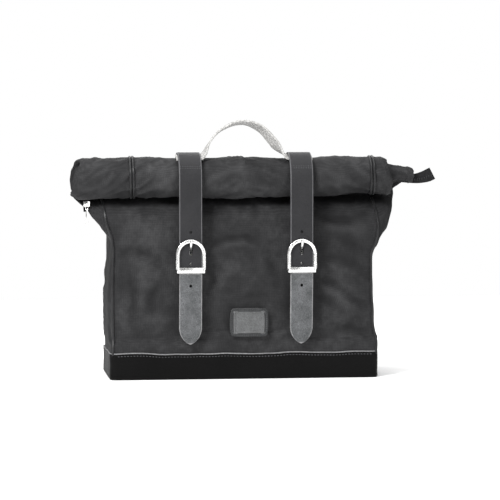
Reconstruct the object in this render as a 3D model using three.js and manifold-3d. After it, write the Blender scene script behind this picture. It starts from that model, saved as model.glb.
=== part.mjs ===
// Roll-top pannier bag: waxed canvas on a leather base, with a rolled mouth held by two buckled straps.
// Millimetres, +Z up, +X along the width, -Y towards the front.
// The origin is the centre of the base's underside.
import * as THREE from 'three';
import { mergeVertices } from 'three/addons/utils/BufferGeometryUtils.js';
import Module from 'manifold-3d';

const wasm = await Module();
wasm.setup();

// ---------------------------------------------------------------- driving dimensions
const gap = 0.3; // between neighbours

// leather base and bag cloth
const baseWidth = 380;
const baseDepth = 150;
const baseHeight = 36;
const baseWall = 2.5;
const baseCorner = 10;
const baseBoard = 3;
const backBoard = 2.5;
const cloth = 2; // canvas and its lining
const clothCorner = 6;
const seamTuck = 5;
const frontSwell = 7;
const gussetSwell = 4;
const shoulderHeight = 186;
const mouthHeight = 258;
const mouthHalf = 6.3;
const wingReach = { left: 58, right: 40 };
const wingPower = { left: 4, right: 1 }; // a high power keeps the wing close under the roll
const pipingRadius = 2.5;
const clothFacet = 1.2; // how far the cloth's flat facets stand off its curve above the shoulder

// rolled mouth
const turnThick = 9; // one turn is the whole flattened mouth
const turnGap = 1;
const rollReach = 28.5; // roll's middle to the middle of its outermost turn
const rollLift = 22; // from the mouth to the roll's middle
const rollTurns = 1.4;
// how far each end goes beyond the base's side
const rollBeyondLeft = 55;
const rollBeyondRight = 22;
const hemBeyond = 55; // the rolled-in hem comes out of the roll's right end
const rollPipingInsetLeft = 33;
const rollPipingInsetRight = 8;

// straps and buckles
const strapWidth = 32;
const strapThick = 3;
const strapLeave = 62; // below the mouth, where the strap leaves the back panel
const strapSpacing = 156;
const tailLength = 104; // below the buckle's bar
const holePitch = 25.4;
const holeRadius = 2.5;
const barHeight = 154;
const barRadius = 2;
const frameSide = 5; // the buckle frame's reach beyond the strap
const frameLimb = 5.2;
const frameThick = 4;
const frameRise = 43.5; // above the bar
const keeperHeight = 8.2;
const keeperThick = 2.5;
const chapeThick = 2;
const chapeLength = 46; // below the bar
const tongueWidth = 3.4;
const tongueThick = 2;
const rivetHead = 4.5;
const rivetShank = 1.6;
const rivetClear = 0.32; // between a rivet's inner head and the panel's flat facets
const rivetLift = 8; // from the chape's end to its rivet

// carrying handle
const handleWidth = 22;
const handleThick = 3;
const handleRise = 46;
const handleTail = 2; // how far the strip's cut end shows past the strap
const handleLean = 106; // where the strip crosses the roll, in degrees from the back over the top
const handlePivotRadius = 12;

// label and zip
const labelWidth = 54;
const labelHeight = 40;
const labelThick = 2;
const labelShift = 5;
const labelMiddle = 80;
const zipTapeThick = 1.6;
const zipTapeWidth = 8;
const pullerLength = 31;

// hook rail, hooks and stay
const railLength = 300;
const railHeight = 32;
const railWeb = 2.5;
const railDepth = 9.5;
const railDrop = 52; // from the shoulder to the rail's middle
const railBacking = 2;
const hookWidth = 28;
const hookSpacing = 160;
const hookPlate = 4.6;
const hookThroat = 17;
const hookRise = 48;
const pinRadius = 2;
const screwHead = 4;
const screwShank = 2;
const stayPlateWidth = 60;
const stayPlateHeight = 40;
const stayMiddle = 66;
const stayArmLength = 52;
const stayFin = 16;

// ---------------------------------------------------------------- worked-out places
const rollMiddle = mouthHeight + rollLift;
const rollLeft = -baseWidth / 2 - rollBeyondLeft;
const rollRight = baseWidth / 2 + rollBeyondRight;
const hemRight = baseWidth / 2 + hemBeyond;
const rollPipingLeft = rollPipingInsetLeft - baseWidth / 2;
const rollPipingRight = baseWidth / 2 - rollPipingInsetRight;
const strapX = strapSpacing / 2;
const strapBottom = barHeight - tailLength;
const frameWidth = strapWidth + 2 * frameSide;
const frameTop = barHeight + frameRise;
const chapeBottom = barHeight - chapeLength;
const handleEnd = strapX + strapWidth / 2 + handleTail;
const railMiddle = shoulderHeight - railDrop;
const clothHalfWidth = baseWidth / 2 - baseWall - gap - cloth / 2;
const clothHalfDepth = baseDepth / 2 - baseWall - gap - cloth / 2;
const panelHalfWidth = clothHalfWidth - clothCorner;
const clothBottom = baseWall + gap + baseBoard + gap;
const backFace = clothHalfDepth + cloth / 2;

const chapeBack = -(clothHalfDepth + cloth / 2 + frontSwell + gap);
const chapeMiddle = chapeBack - chapeThick / 2;
const loopRadius = barRadius + gap + chapeThick / 2;
const barY = chapeMiddle - loopRadius;
const strapY = barY - loopRadius - chapeThick / 2 - gap - strapThick / 2;
const frameBack = strapY - strapThick / 2 - gap;
const frameFront = frameBack - frameThick;
const lugInner = strapWidth / 2 + gap;
const tailTop = barHeight - 5;
const middleBottom = barHeight - 2;
const middleTop = frameTop + 6.5;
const tongueHole = barHeight + 1.1 * holePitch;

const rollOuter = rollReach + turnThick / 2;
const rollPitch = turnThick + turnGap;
const handleSpan = handleWidth / rollOuter * 180 / Math.PI / 2;
const saddle = rollOuter - rollPitch * (handleLean - handleSpan) / 360; // the roll's reach at the handle
const strapReach = saddle + 4 * gap + handleThick + strapThick / 2;
const rollY = strapY + strapReach;
const mouthY = rollY + rollReach;
const rollTop = rollMiddle + rollOuter - rollPitch / 4;
const handleY = rollY + (saddle + handleThick / 2) * Math.cos(handleLean * Math.PI / 180);

const railFront = backFace + gap;
const railBack = railFront + railDepth;
const rivetBackHeight = railMiddle + railHeight / 2 + 18;
const screwPlaces = [-railLength / 2 + 15, -20, 20, railLength / 2 - 15];
const stayScrews = [-stayPlateWidth / 2 + 8, stayPlateWidth / 2 - 8];

// ---------------------------------------------------------------- shared helpers
const parts = new THREE.Group();

function finish(colour, roughness, metalness) {
  return new THREE.MeshStandardMaterial({ color: colour, roughness, metalness });
}

const waxedCanvas = finish(0x323234, 0.85, 0);
const blackLeather = finish(0x1c1b1c, 0.55, 0);
const strapLeather = finish(0x3a3a3b, 0.6, 0);
const tailLeather = finish(0x5e5f61, 0.65, 0);
const greyLeather = finish(0xa6a5a4, 0.65, 0);
const nickel = finish(0xcfcfd0, 0.25, 1);
const board = finish(0x2a2a2a, 0.6, 0);
const blackPlastic = finish(0x1d1e20, 0.5, 0);
const blackAluminium = finish(0x303236, 0.4, 0.9);
const steel = finish(0xb4b6b8, 0.35, 1);
const zipTape = finish(0x141415, 0.8, 0);

function mix(a, b, share) {
  return a + (b - a) * share;
}

// A closed geometry with shared vertices and its faces pointing out.
function closed(geometry) {
  const bare = new THREE.BufferGeometry();
  bare.setAttribute('position', geometry.getAttribute('position').clone());
  if (geometry.index) bare.setIndex(geometry.index.clone());
  const merged = mergeVertices(bare, 1e-4);
  const place = merged.getAttribute('position');
  const index = merged.index.array;
  const corner = [new THREE.Vector3(), new THREE.Vector3(), new THREE.Vector3()];
  let volume = 0;
  for (let i = 0; i < index.length; i += 3) {
    corner.forEach((point, k) => point.fromBufferAttribute(place, index[i + k]));
    volume += corner[0].dot(corner[1].clone().cross(corner[2]));
  }
  if (volume < 0) index.reverse();
  return merged;
}

function solidOf(geometry) {
  const merged = closed(geometry);
  return new wasm.Manifold(new wasm.Mesh({
    numProp: 3,
    vertProperties: new Float32Array(merged.getAttribute('position').array),
    triVerts: new Uint32Array(merged.index.array),
  }));
}

function geometryOf(solid) {
  const mesh = solid.getMesh();
  const geometry = new THREE.BufferGeometry();
  geometry.setAttribute('position', new THREE.BufferAttribute(mesh.vertProperties, 3));
  geometry.setIndex(new THREE.BufferAttribute(mesh.triVerts, 1));
  return geometry;
}

function cut(geometry, tools) {
  return geometryOf(tools.reduce((solid, tool) => solid.subtract(solidOf(tool)), solidOf(geometry)));
}

function join(geometries) {
  return geometryOf(geometries.map(solidOf).reduce((whole, piece) => whole.add(piece)));
}

function common(one, other) {
  return geometryOf(solidOf(one).intersect(solidOf(other)));
}

function add(name, geometry, material) {
  const mesh = new THREE.Mesh(closed(geometry), material);
  mesh.name = name;
  mesh.geometry.computeVertexNormals();
  parts.add(mesh);
}

function shapeOf(points) {
  return new THREE.Shape(points.map(([a, b]) => new THREE.Vector2(a, b)));
}

// Outline points are [y, z]; the solid runs from x = start to x = end.
function alongX(points, start, end) {
  const geometry = new THREE.ExtrudeGeometry(shapeOf(points), { depth: end - start, bevelEnabled: false });
  const turn = new THREE.Matrix4().makeBasis(
    new THREE.Vector3(0, 1, 0), new THREE.Vector3(0, 0, 1), new THREE.Vector3(1, 0, 0));
  return geometry.applyMatrix4(turn).translate(start, 0, 0);
}

// The outline is a Shape in x and z; the solid runs from y = start to y = end.
function alongY(shape, start, end) {
  const settings = { depth: end - start, bevelEnabled: false, curveSegments: 7 };
  const geometry = new THREE.ExtrudeGeometry(shape, settings);
  return geometry.rotateX(Math.PI / 2).translate(0, end, 0);
}

function box(x0, x1, y0, y1, z0, z1) {
  const block = new THREE.BoxGeometry(x1 - x0, y1 - y0, z1 - z0);
  return block.translate((x0 + x1) / 2, (y0 + y1) / 2, (z0 + z1) / 2);
}

function rodX(radius, x0, x1, y, z, sides = 12) {
  const rod = new THREE.CylinderGeometry(radius, radius, x1 - x0, sides).rotateZ(Math.PI / 2);
  return rod.translate((x0 + x1) / 2, y, z);
}

function rodY(radius, y0, y1, x, z) {
  return new THREE.CylinderGeometry(radius, radius, y1 - y0, 10).translate(x, (y0 + y1) / 2, z);
}

// A turned fastener whose axis is along Y; the profile lists [radius, y] from end to end.
function turned(profile, x, z) {
  const points = profile.map(([radius, y]) => new THREE.Vector2(radius, y));
  return new THREE.LatheGeometry(points, 10).translate(x, 0, z);
}

// The closed outline of a strip of even thickness along a line of points.
function ribbon(line, thickness) {
  const left = [];
  const right = [];
  line.forEach((point, i) => {
    const before = line[Math.max(i - 1, 0)];
    const after = line[Math.min(i + 1, line.length - 1)];
    const inward = unit(point[0] - before[0], point[1] - before[1]);
    const outward = unit(after[0] - point[0], after[1] - point[1]);
    const start = i === 0 ? outward : inward;
    const end = i === line.length - 1 ? inward : outward;
    const middle = unit(start[0] + end[0], start[1] + end[1]);
    const reach = thickness / 2 / (middle[0] * start[0] + middle[1] * start[1]);
    left.push([point[0] - middle[1] * reach, point[1] + middle[0] * reach]);
    right.unshift([point[0] + middle[1] * reach, point[1] - middle[0] * reach]);
  });
  return left.concat(right);
}

function unit(a, b) {
  const length = Math.hypot(a, b) || 1;
  return [a / length, b / length];
}

function roundedRectangle(width, depth, radius) {
  const x = width / 2 - radius;
  const y = depth / 2 - radius;
  const shape = new THREE.Shape();
  shape.absarc(x, -y, radius, -Math.PI / 2, 0);
  shape.absarc(x, y, radius, 0, Math.PI / 2);
  shape.absarc(-x, y, radius, Math.PI / 2, Math.PI);
  shape.absarc(-x, -y, radius, Math.PI, Math.PI * 1.5);
  return shape;
}

// A round section swept along a smooth line of [x, y, z] points.
function swept(points, radius, steps) {
  const section = new THREE.Shape();
  section.absarc(0, 0, radius, 0, Math.PI * 2);
  const path = new THREE.CatmullRomCurve3(points.map((point) => new THREE.Vector3(...point)));
  return new THREE.ExtrudeGeometry(section, { steps, extrudePath: path, curveSegments: 3 });
}

// ---------------------------------------------------------------- cloth of the bag
// How far the cloth swells at a height: nothing at the base and shoulder, all of it halfway.
function swell(z) {
  const share = (z - baseHeight) / (shoulderHeight - baseHeight);
  return share > 0 && share < 1 ? Math.sin(Math.PI * share) : 0;
}

// How far the mouth is drawn together at a height, from 0 at the shoulder to 1 at the mouth.
function drawnIn(z) {
  const share = Math.min(Math.max((z - shoulderHeight) / (mouthHeight - shoulderHeight), 0), 1);
  return (1 - Math.cos(Math.PI * share)) / 2;
}

// The middle of the panel's thickness; facing is -1 for the front and 1 for the back.
function panelY(facing, z) {
  return mix(facing * clothHalfDepth, mouthY + facing * mouthHalf, drawnIn(z));
}

function frontSwellAt(x, z) {
  return frontSwell * swell(z) * (1 - (x / panelHalfWidth) ** 2);
}

const clothHeights = [clothBottom];
for (let i = 0; i <= 5; i += 1) clothHeights.push(mix(baseHeight, shoulderHeight, i / 5));
for (let i = 1; i <= 7; i += 1) clothHeights.push(mix(shoulderHeight, mouthHeight, i / 7));

// A standing sheet whose plan at each height is outline(u, z) and whose thickness is level.
function clothSheet(outline, columns, thickness) {
  const rows = clothHeights.length - 1;
  const sheet = new THREE.BoxGeometry(1, 1, 1, columns, rows, 1);
  const place = sheet.getAttribute('position');
  const near = 1e-3;
  for (let i = 0; i < place.count; i += 1) {
    const u = place.getX(i) + 0.5;
    const z = clothHeights[Math.round((place.getY(i) + 0.5) * rows)];
    const offset = place.getZ(i) * thickness;
    const [x, y] = outline(u, z);
    const before = outline(Math.max(u - near, 0), z);
    const after = outline(Math.min(u + near, 1), z);
    const [alongOne, alongTwo] = unit(after[0] - before[0], after[1] - before[1]);
    place.setXYZ(i, x + alongTwo * offset, y - alongOne * offset, z);
  }
  return sheet;
}

function frontPanel() {
  const sheet = clothSheet((u, z) => {
    const x = mix(-panelHalfWidth, panelHalfWidth, u);
    return [x, panelY(-1, z) - frontSwellAt(x, z)];
  }, 8, cloth);
  const holes = [-1, 1].map((side) => (
    rodY(rivetShank + gap, -200, 0, side * strapX, chapeBottom + rivetLift)));
  return cut(sheet, holes);
}

function backPanel() {
  const sheet = clothSheet((u, z) => [mix(panelHalfWidth, -panelHalfWidth, u), panelY(1, z)], 1, cloth);
  return cut(sheet, backHoles());
}

// Holes that the rivets, the rail's screws and the stay's screws need at the back.
function backHoles() {
  const rivets = [-1, 1].map((side) => rodY(rivetShank + gap, 0, 200, side * strapX, rivetBackHeight));
  const rail = screwPlaces.map((x) => rodY(screwShank + gap, 0, 200, x, railMiddle));
  const stay = stayScrews.map((x) => rodY(screwShank + gap, 0, 200, x, stayMiddle));
  return [...rivets, ...rail, ...stay];
}

// The plan of a gusset: a leg behind the front panel, a round corner, the side, and the same back again.
function gussetOutline(side, u, z) {
  const front = panelY(-1, z) + cloth + gap;
  const back = panelY(1, z) - cloth - gap;
  const half = (back - front) / 2;
  const hand = side < 0 ? 'left' : 'right';
  const wing = wingReach[hand] * drawnIn(z) ** wingPower[hand];
  const reach = clothCorner + wing;
  const radius = Math.min(reach, 0.8 * half);
  const stretches = [seamTuck + reach - radius, Math.PI / 2 * radius, 2 * (half - radius)];
  const lengths = [stretches[0], stretches[1], stretches[2], stretches[1], stretches[0]];
  const columns = [2, 4, 4, 4, 2];
  let place = u * 16;
  let stretch = 0;
  while (stretch < 4 && place > columns[stretch]) {
    place -= columns[stretch];
    stretch += 1;
  }
  const along = lengths[stretch] * place / columns[stretch];
  const start = panelHalfWidth - seamTuck;
  const turn = radius > 0 ? along / radius : 0;
  const points = [
    [start + along, front],
    [start + stretches[0] + radius * Math.sin(turn), front + radius * (1 - Math.cos(turn))],
    [start + stretches[0] + radius, front + radius + along],
    [start + stretches[0] + radius * Math.cos(turn), back - radius + radius * Math.sin(turn)],
    [start + stretches[0] - along, back],
  ];
  const [x, y] = points[stretch];
  const fromMiddle = (y - (front + back) / 2) / half;
  return [side * (x + gussetSwell * swell(z) * (1 - fromMiddle ** 2)), y];
}

function gusset(side) {
  return clothSheet((u, z) => gussetOutline(side, side < 0 ? 1 - u : u, z), 16, cloth);
}

// Piping stands in the corner between a panel's edge and the gusset.
function bodyPiping(facing, side) {
  const points = [];
  const first = baseHeight + gap + 1;
  const last = mouthHeight - 4;
  for (let i = 0; i <= 16; i += 1) {
    const z = mix(first, last, i / 16);
    const slope = (panelY(facing, z + 0.5) - panelY(facing, z - 0.5));
    const facet = z > shoulderHeight ? clothFacet : 0;
    const stand = gap + 0.5 + facet + pipingRadius * Math.hypot(1, slope);
    const gussetFace = panelY(facing, z) - facing * (cloth / 2 + gap);
    points.push([side * (panelHalfWidth + gap + pipingRadius + 0.2), gussetFace + facing * stand, z]);
  }
  return swept(points, pipingRadius, 20);
}

function leatherBase() {
  const settings = { depth: baseHeight, bevelEnabled: false, curveSegments: 4 };
  const plan = roundedRectangle(baseWidth, baseDepth, baseCorner);
  const outside = new THREE.ExtrudeGeometry(plan, settings);
  const room = roundedRectangle(baseWidth - 2 * baseWall, baseDepth - 2 * baseWall, baseCorner - baseWall);
  const inside = new THREE.ExtrudeGeometry(room, settings);
  return cut(outside, [inside.translate(0, 0, baseWall)]);
}

function baseStiffener() {
  const room = baseWall + gap;
  const plan = roundedRectangle(baseWidth - 2 * room, baseDepth - 2 * room, baseCorner - baseWall);
  const plate = new THREE.ExtrudeGeometry(plan, { depth: baseBoard, bevelEnabled: false, curveSegments: 4 });
  return plate.translate(0, 0, baseWall + gap);
}

function backStiffener() {
  const back = clothHalfDepth - cloth / 2 - gap;
  const half = panelHalfWidth - seamTuck - 8;
  return cut(box(-half, half, back - backBoard, back, clothBottom + 2, shoulderHeight - 2), backHoles());
}

// ---------------------------------------------------------------- rolled mouth
// One face of the roll's spiral; offset is measured out from the middle of the turn.
function spiralPoint(angle, offset) {
  const reach = rollReach - rollPitch * angle / (2 * Math.PI) + offset;
  return [rollY + reach * Math.cos(angle), rollMiddle + reach * Math.sin(angle)];
}

function rolledMouth() {
  const perTurn = 24;
  const steps = Math.round(rollTurns * perTurn);
  const outer = [[mouthY + turnThick / 2, mouthHeight + gap]];
  const inner = [[mouthY - turnThick / 2, mouthHeight + gap]];
  for (let i = 0; i <= steps; i += 1) {
    const angle = i / perTurn * 2 * Math.PI;
    outer.push(spiralPoint(angle, turnThick / 2));
    inner.push(spiralPoint(angle, -turnThick / 2));
  }
  return alongX([...outer, ...inner.reverse()], rollLeft, rollRight);
}

// The mouth's hem, with its zip inside, is what the turns are rolled round.
function mouthHem() {
  const radius = rollReach - rollPitch * rollTurns - turnThick / 2 - turnGap / 2;
  return rodX(radius, rollLeft, hemRight, rollY, rollMiddle);
}

function rollPiping(x) {
  const points = [];
  for (let i = 0; i <= 28; i += 1) {
    const [y, z] = spiralPoint(mix(0, 1.55 * Math.PI, i / 28), turnThick / 2 + pipingRadius + gap + 0.3);
    points.push([x, y, z]);
  }
  return swept(points, pipingRadius, 24);
}

// ---------------------------------------------------------------- straps and buckles
function strapHole(x, z, y0, y1) {
  return rodY(holeRadius, y0, y1, x, z);
}

function strapUpper(side) {
  const behind = backFace + gap + strapThick / 2;
  const line = [[behind, rivetBackHeight - 10], [behind, mouthHeight - strapLeave]];
  for (let turn = 45; turn <= 180; turn += 9) {
    const angle = turn * Math.PI / 180;
    line.push([rollY + strapReach * Math.cos(angle), rollMiddle + strapReach * Math.sin(angle)]);
  }
  line.push([strapY, middleTop + gap]);
  const x = side * strapX;
  const band = alongX(ribbon(line, strapThick), x - strapWidth / 2, x + strapWidth / 2);
  const front = strapHole(x, barHeight + 2.1 * holePitch, strapY - 10, strapY + 10);
  return cut(band, [front, rodY(rivetShank + gap, behind - 5, behind + 5, x, rivetBackHeight)]);
}

function strapMiddle(side) {
  const x = side * strapX;
  const band = box(x - strapWidth / 2, x + strapWidth / 2,
    strapY - strapThick / 2, strapY + strapThick / 2, middleBottom, middleTop);
  const slot = new THREE.Shape();
  const halfSlot = 5;
  slot.absarc(x, tongueHole + halfSlot, holeRadius, 0, Math.PI);
  slot.absarc(x, tongueHole - halfSlot, holeRadius, Math.PI, 2 * Math.PI);
  return cut(band, [alongY(slot, strapY - 10, strapY + 10),
    strapHole(x, barHeight + 0.2 * holePitch + 4, strapY - 10, strapY + 10)]);
}

function strapTail(side) {
  const x = side * strapX;
  const half = strapWidth / 2;
  const bend = mix(tailTop, strapBottom, 0.4);
  const line = [[strapY, tailTop], [strapY + 1.5, bend], [strapY + 4.5, strapBottom - 5]];
  const band = alongX(ribbon(line, strapThick), x - half, x + half);
  const tip = new THREE.Shape();
  const ogive = strapBottom + 0.67 * strapWidth;
  tip.moveTo(x - half, tailTop);
  tip.lineTo(x - half, ogive);
  tip.quadraticCurveTo(x - 0.86 * half, strapBottom + 8, x, strapBottom);
  tip.quadraticCurveTo(x + 0.86 * half, strapBottom + 8, x + half, ogive);
  tip.lineTo(x + half, tailTop);
  const cutBand = common(band, alongY(tip, strapY - 20, strapY + 20));
  return cut(cutBand, [strapHole(x, barHeight - 0.85 * holePitch, strapY - 10, strapY + 10)]);
}

// The chape folds round the buckle's bar and both its layers are riveted to the front panel.
function chape(side) {
  const x = side * strapX;
  const half = lugInner - gap - 0.5;
  const line = [[chapeMiddle, chapeBottom], [chapeMiddle, barHeight - 4]];
  for (let turn = 0; turn <= 180; turn += 20) {
    const angle = turn * Math.PI / 180;
    line.push([barY + loopRadius * Math.cos(angle), barHeight + loopRadius * Math.sin(angle)]);
  }
  const frontLayer = chapeMiddle - chapeThick - gap;
  line.push([frontLayer, barHeight - 22], [frontLayer, chapeBottom]);
  const band = alongX(ribbon(line, chapeThick), x - half, x + half);
  const slot = tongueWidth / 2 + 0.6;
  return cut(band, [
    box(x - slot, x + slot, barY - 10, barY + 10, barHeight - 8, barHeight + 10),
    rodY(rivetShank + gap, barY - 10, barY + 10, x, chapeBottom + rivetLift),
  ]);
}

function chapeRivet(side) {
  const x = side * strapX;
  const z = chapeBottom + rivetLift;
  const headBack = chapeMiddle - 1.5 * chapeThick - 2 * gap;
  const leastSwell = Math.min(...[-1, 1].map((end) => frontSwellAt(strapX - rivetHead, z + end * rivetHead)));
  const panelInside = panelY(-1, z) - leastSwell + cloth / 2 + gap + rivetClear;
  return turned([[0, headBack - 1.5], [rivetHead - 1, headBack - 1.5], [rivetHead, headBack - 0.6],
    [rivetHead, headBack], [rivetShank, headBack], [rivetShank, panelInside],
    [rivetHead, panelInside], [rivetHead, panelInside + 1.5], [0, panelInside + 1.5]], x, z);
}

function backRivet(side) {
  const outside = backFace + gap + strapThick + gap;
  const inside = clothHalfDepth - cloth / 2 - gap - backBoard - gap;
  return turned([[0, inside - 1.5], [rivetHead, inside - 1.5], [rivetHead, inside], [rivetShank, inside],
    [rivetShank, outside], [rivetHead, outside], [rivetHead - 1, outside + 1.5], [0, outside + 1.5]],
  side * strapX, rivetBackHeight);
}

// A horseshoe frame whose keeper crosses in front of the strap and whose bar crosses behind it.
function buckleFrame(side) {
  const x = side * strapX;
  const outer = frameWidth / 2;
  const inner = outer - frameLimb;
  const middle = frameTop - outer;
  const bottom = barHeight - 3.7;
  const arch = new THREE.Shape();
  arch.moveTo(x + outer, bottom);
  arch.absarc(x, middle, outer, 0, Math.PI);
  arch.lineTo(x - outer, bottom);
  arch.lineTo(x - inner, bottom);
  arch.absarc(x, middle, inner, Math.PI, 0, true);
  arch.lineTo(x + inner, bottom);
  const pieces = [
    alongY(arch, frameFront, frameBack),
    box(x - outer + 1, x + outer - 1, frameBack - keeperThick, frameBack, bottom, bottom + keeperHeight),
    rodX(barRadius, x - outer + 2, x + outer - 2, barY, barHeight),
  ];
  for (const end of [-1, 1]) {
    const edges = [x + end * lugInner, x + end * (outer - 0.5)].sort((a, b) => a - b);
    pieces.push(box(edges[0], edges[1], frameFront + 0.5, barY + barRadius + gap, bottom, barHeight + 3.7));
  }
  return join(pieces);
}

// The tongue turns on the bar behind the strap, comes through its hole and rests on the arch.
function tongue(side) {
  const x = side * strapX;
  const shaft = barY - barRadius - gap - 0.1;
  const rest = frameFront - gap - tongueThick / 2 - 0.1;
  const line = [[shaft, barHeight + 1], [shaft, tongueHole - 6.5], [shaft - 2.2, tongueHole - 2.6],
    [mix(shaft, rest, 0.62), tongueHole + 4.4], [rest, frameTop - frameLimb - 2.4], [rest, frameTop + 0.5]];
  const half = tongueWidth / 2;
  const body = alongX(ribbon(line, tongueThick), x - half, x + half);
  const ring = rodX(barRadius + gap + 1.6, x - half, x + half, barY, barHeight);
  return cut(join([body, ring]), [rodX(barRadius + gap, x - 5, x + 5, barY, barHeight)]);
}

// ---------------------------------------------------------------- carrying handle
const handleBed = rollMiddle + saddle + 3 * gap + handleThick / 2;
const handlePivot = rollTop + 10;

// The middle of the leather strip, from under one strap over the arch to under the other.
function handleLine() {
  const foot = strapX - strapWidth / 2;
  const curve = new THREE.SplineCurve([
    [-foot + 1.6, handleBed], [-foot + 4, handleBed + 1.2], [-foot + 12, handleBed + 0.4 * handleRise],
    [-foot + 27, handleBed + 0.75 * handleRise], [-0.17 * foot, handleBed + handleRise],
    [0.15 * foot, handleBed + 0.95 * handleRise], [foot - 36, handleBed + 0.76 * handleRise],
    [foot - 18, handleBed + 0.38 * handleRise], [foot - 4, handleBed + 1.2], [foot - 1.6, handleBed],
  ].map(([x, z]) => new THREE.Vector2(x, z)));
  return curve.getPoints(28).map((point) => [point.x, point.y]);
}

function handleStrip() {
  const outline = shapeOf(ribbon(handleLine(), handleThick));
  return alongY(outline, handleY - handleWidth / 2, handleY + handleWidth / 2);
}

// The grip starts just outside the circle that its ends turn about.
function handleGrip() {
  const below = box(-200, 200, handleY - 50, handleY + 50, rollTop - 50, handlePivot);
  return cut(handleStrip(), [rodX(handlePivotRadius + gap, -200, 200, handleY, handlePivot, 36), below]);
}

function handleFoot(side) {
  const room = [side * (strapX + 40), 0].sort((a, b) => a - b);
  const below = box(room[0], room[1], handleY - 50, handleY + 50, rollTop - 50, handlePivot);
  const keep = join([below, rodX(handlePivotRadius, room[0], room[1], handleY, handlePivot, 36)]);
  const rising = common(handleStrip(), keep);
  const bed = [];
  const reach = saddle + gap + handleThick / 2;
  for (let i = 0; i <= 6; i += 1) {
    const angle = (handleLean + handleSpan * (i / 3 - 1)) * Math.PI / 180;
    bed.push([rollY + reach * Math.cos(angle), rollMiddle + reach * Math.sin(angle)]);
  }
  const ends = [side * handleEnd, side * (strapX - strapWidth / 2 - 5)].sort((a, b) => a - b);
  return join([rising, alongX(ribbon(bed, handleThick), ends[0], ends[1])]);
}

// ---------------------------------------------------------------- label and zip
function labelPatch() {
  const bottom = labelMiddle - labelHeight / 2;
  const top = labelMiddle + labelHeight / 2;
  const left = labelShift - labelWidth / 2;
  const right = labelShift + labelWidth / 2;
  const bow = 2;
  const shape = new THREE.Shape();
  shape.moveTo(left + bow, bottom);
  shape.lineTo(right - bow, bottom);
  shape.quadraticCurveTo(right + bow, labelMiddle, right - bow, top);
  shape.lineTo(left + bow, top);
  shape.quadraticCurveTo(left - bow, labelMiddle, left + bow, bottom);
  const back = -(clothHalfDepth + cloth / 2 + frontSwell + gap);
  return alongY(shape, back - labelThick, back);
}

// The mouth's zip comes out of the roll at both ends; the slider waits at the left one.
const zipX = rollLeft + 25;
const zipBack = mouthY - mouthHalf - 12;
const zipTop = rollMiddle - rollOuter + 7.5;
const sliderTop = zipTop - 4.5;
const sliderHeight = 8;
const sliderDepth = 5;
const pullerPivot = sliderTop - sliderHeight / 2;
const pullerY = zipBack - zipTapeThick / 2 - sliderDepth / 2 - 2.4;

function zipTapeLeft() {
  return box(zipX - zipTapeWidth / 2, zipX + zipTapeWidth / 2, zipBack - zipTapeThick, zipBack,
    sliderTop - sliderHeight - 8, zipTop);
}

function zipTapeRight() {
  const outline = shapeOf([[hemRight + gap, rollMiddle - 7], [hemRight + 22, rollMiddle - 5],
    [hemRight + 25, rollMiddle + 1], [hemRight + 20, rollMiddle + 9], [hemRight + gap, rollMiddle + 7]]);
  return alongY(outline, rollY - zipTapeThick, rollY + zipTapeThick);
}

function zipSlider() {
  const half = zipTapeWidth / 2;
  const middle = zipBack - zipTapeThick / 2;
  const body = box(zipX - half - 1.5, zipX + half + 1.5, middle - sliderDepth / 2, middle + sliderDepth / 2,
    sliderTop - sliderHeight, sliderTop);
  const slot = box(zipX - half - gap, zipX + half + gap, zipBack - zipTapeThick - gap, zipBack + gap,
    sliderTop - sliderHeight - 1, sliderTop + 1);
  const ear = box(zipX - 3, zipX - 2, pullerY - 2, middle - sliderDepth / 2 + 0.5,
    pullerPivot - 2, pullerPivot + 2);
  const bail = rodX(0.7, zipX - 2.5, zipX + 2.5, pullerY, pullerPivot);
  return join([cut(body, [slot]), ear, ear.clone().translate(5, 0, 0), bail]);
}

function zipPuller() {
  const shape = new THREE.Shape();
  shape.absarc(zipX, pullerPivot, 1.5, 0, Math.PI);
  shape.lineTo(zipX - 1.5, pullerPivot - pullerLength + 4);
  shape.absarc(zipX, pullerPivot - pullerLength + 4, 2.2, Math.PI, 2 * Math.PI);
  const bar = alongY(shape, pullerY - 1.6, pullerY + 1.3);
  const low = pullerPivot - pullerLength - 5;
  const high = pullerPivot - 2;
  const thin = box(zipX - 5, zipX + 5, pullerY - 5, pullerY - 0.6, low, high);
  const behind = box(zipX - 5, zipX + 5, pullerY + 0.6, pullerY + 5, low, high);
  const eye = rodX(0.7 + gap, zipX - 5, zipX + 5, pullerY, pullerPivot);
  return cut(bar, [thin, behind, eye]);
}

// ---------------------------------------------------------------- hooks and stay at the back
function hookRail() {
  const z0 = railMiddle - railHeight / 2;
  const z1 = railMiddle + railHeight / 2;
  const lip = 4;
  const flange = 7.5;
  const channel = railBack - railWeb;
  const profile = [[railFront, z0], [railBack, z0], [railBack, z0 + flange], [channel, z0 + flange],
    [channel, z0 + lip], [railFront + railWeb, z0 + lip], [railFront + railWeb, z1 - lip], [channel, z1 - lip],
    [channel, z1 - flange], [railBack, z1 - flange], [railBack, z1], [railFront, z1]];
  const holes = screwPlaces.map((x) => rodY(screwShank + gap, railFront - 5, railFront + 5, x, railMiddle));
  return cut(alongX(profile, -railLength / 2, railLength / 2), holes);
}

function railCap(side) {
  const x = side * (railLength / 2 + gap);
  const ends = [x, x + side * 4].sort((a, b) => a - b);
  return box(ends[0], ends[1], railFront, railBack, railMiddle - railHeight / 2, railMiddle + railHeight / 2);
}

function railBackingStrip() {
  const back = clothHalfDepth - cloth / 2 - 2 * gap - backBoard;
  const holes = screwPlaces.map((x) => rodY(screwShank + gap, 0, 200, x, railMiddle));
  const strip = box(-railLength / 2, railLength / 2, back - railBacking, back, railMiddle - 10, railMiddle + 10);
  return cut(strip, holes);
}

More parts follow.
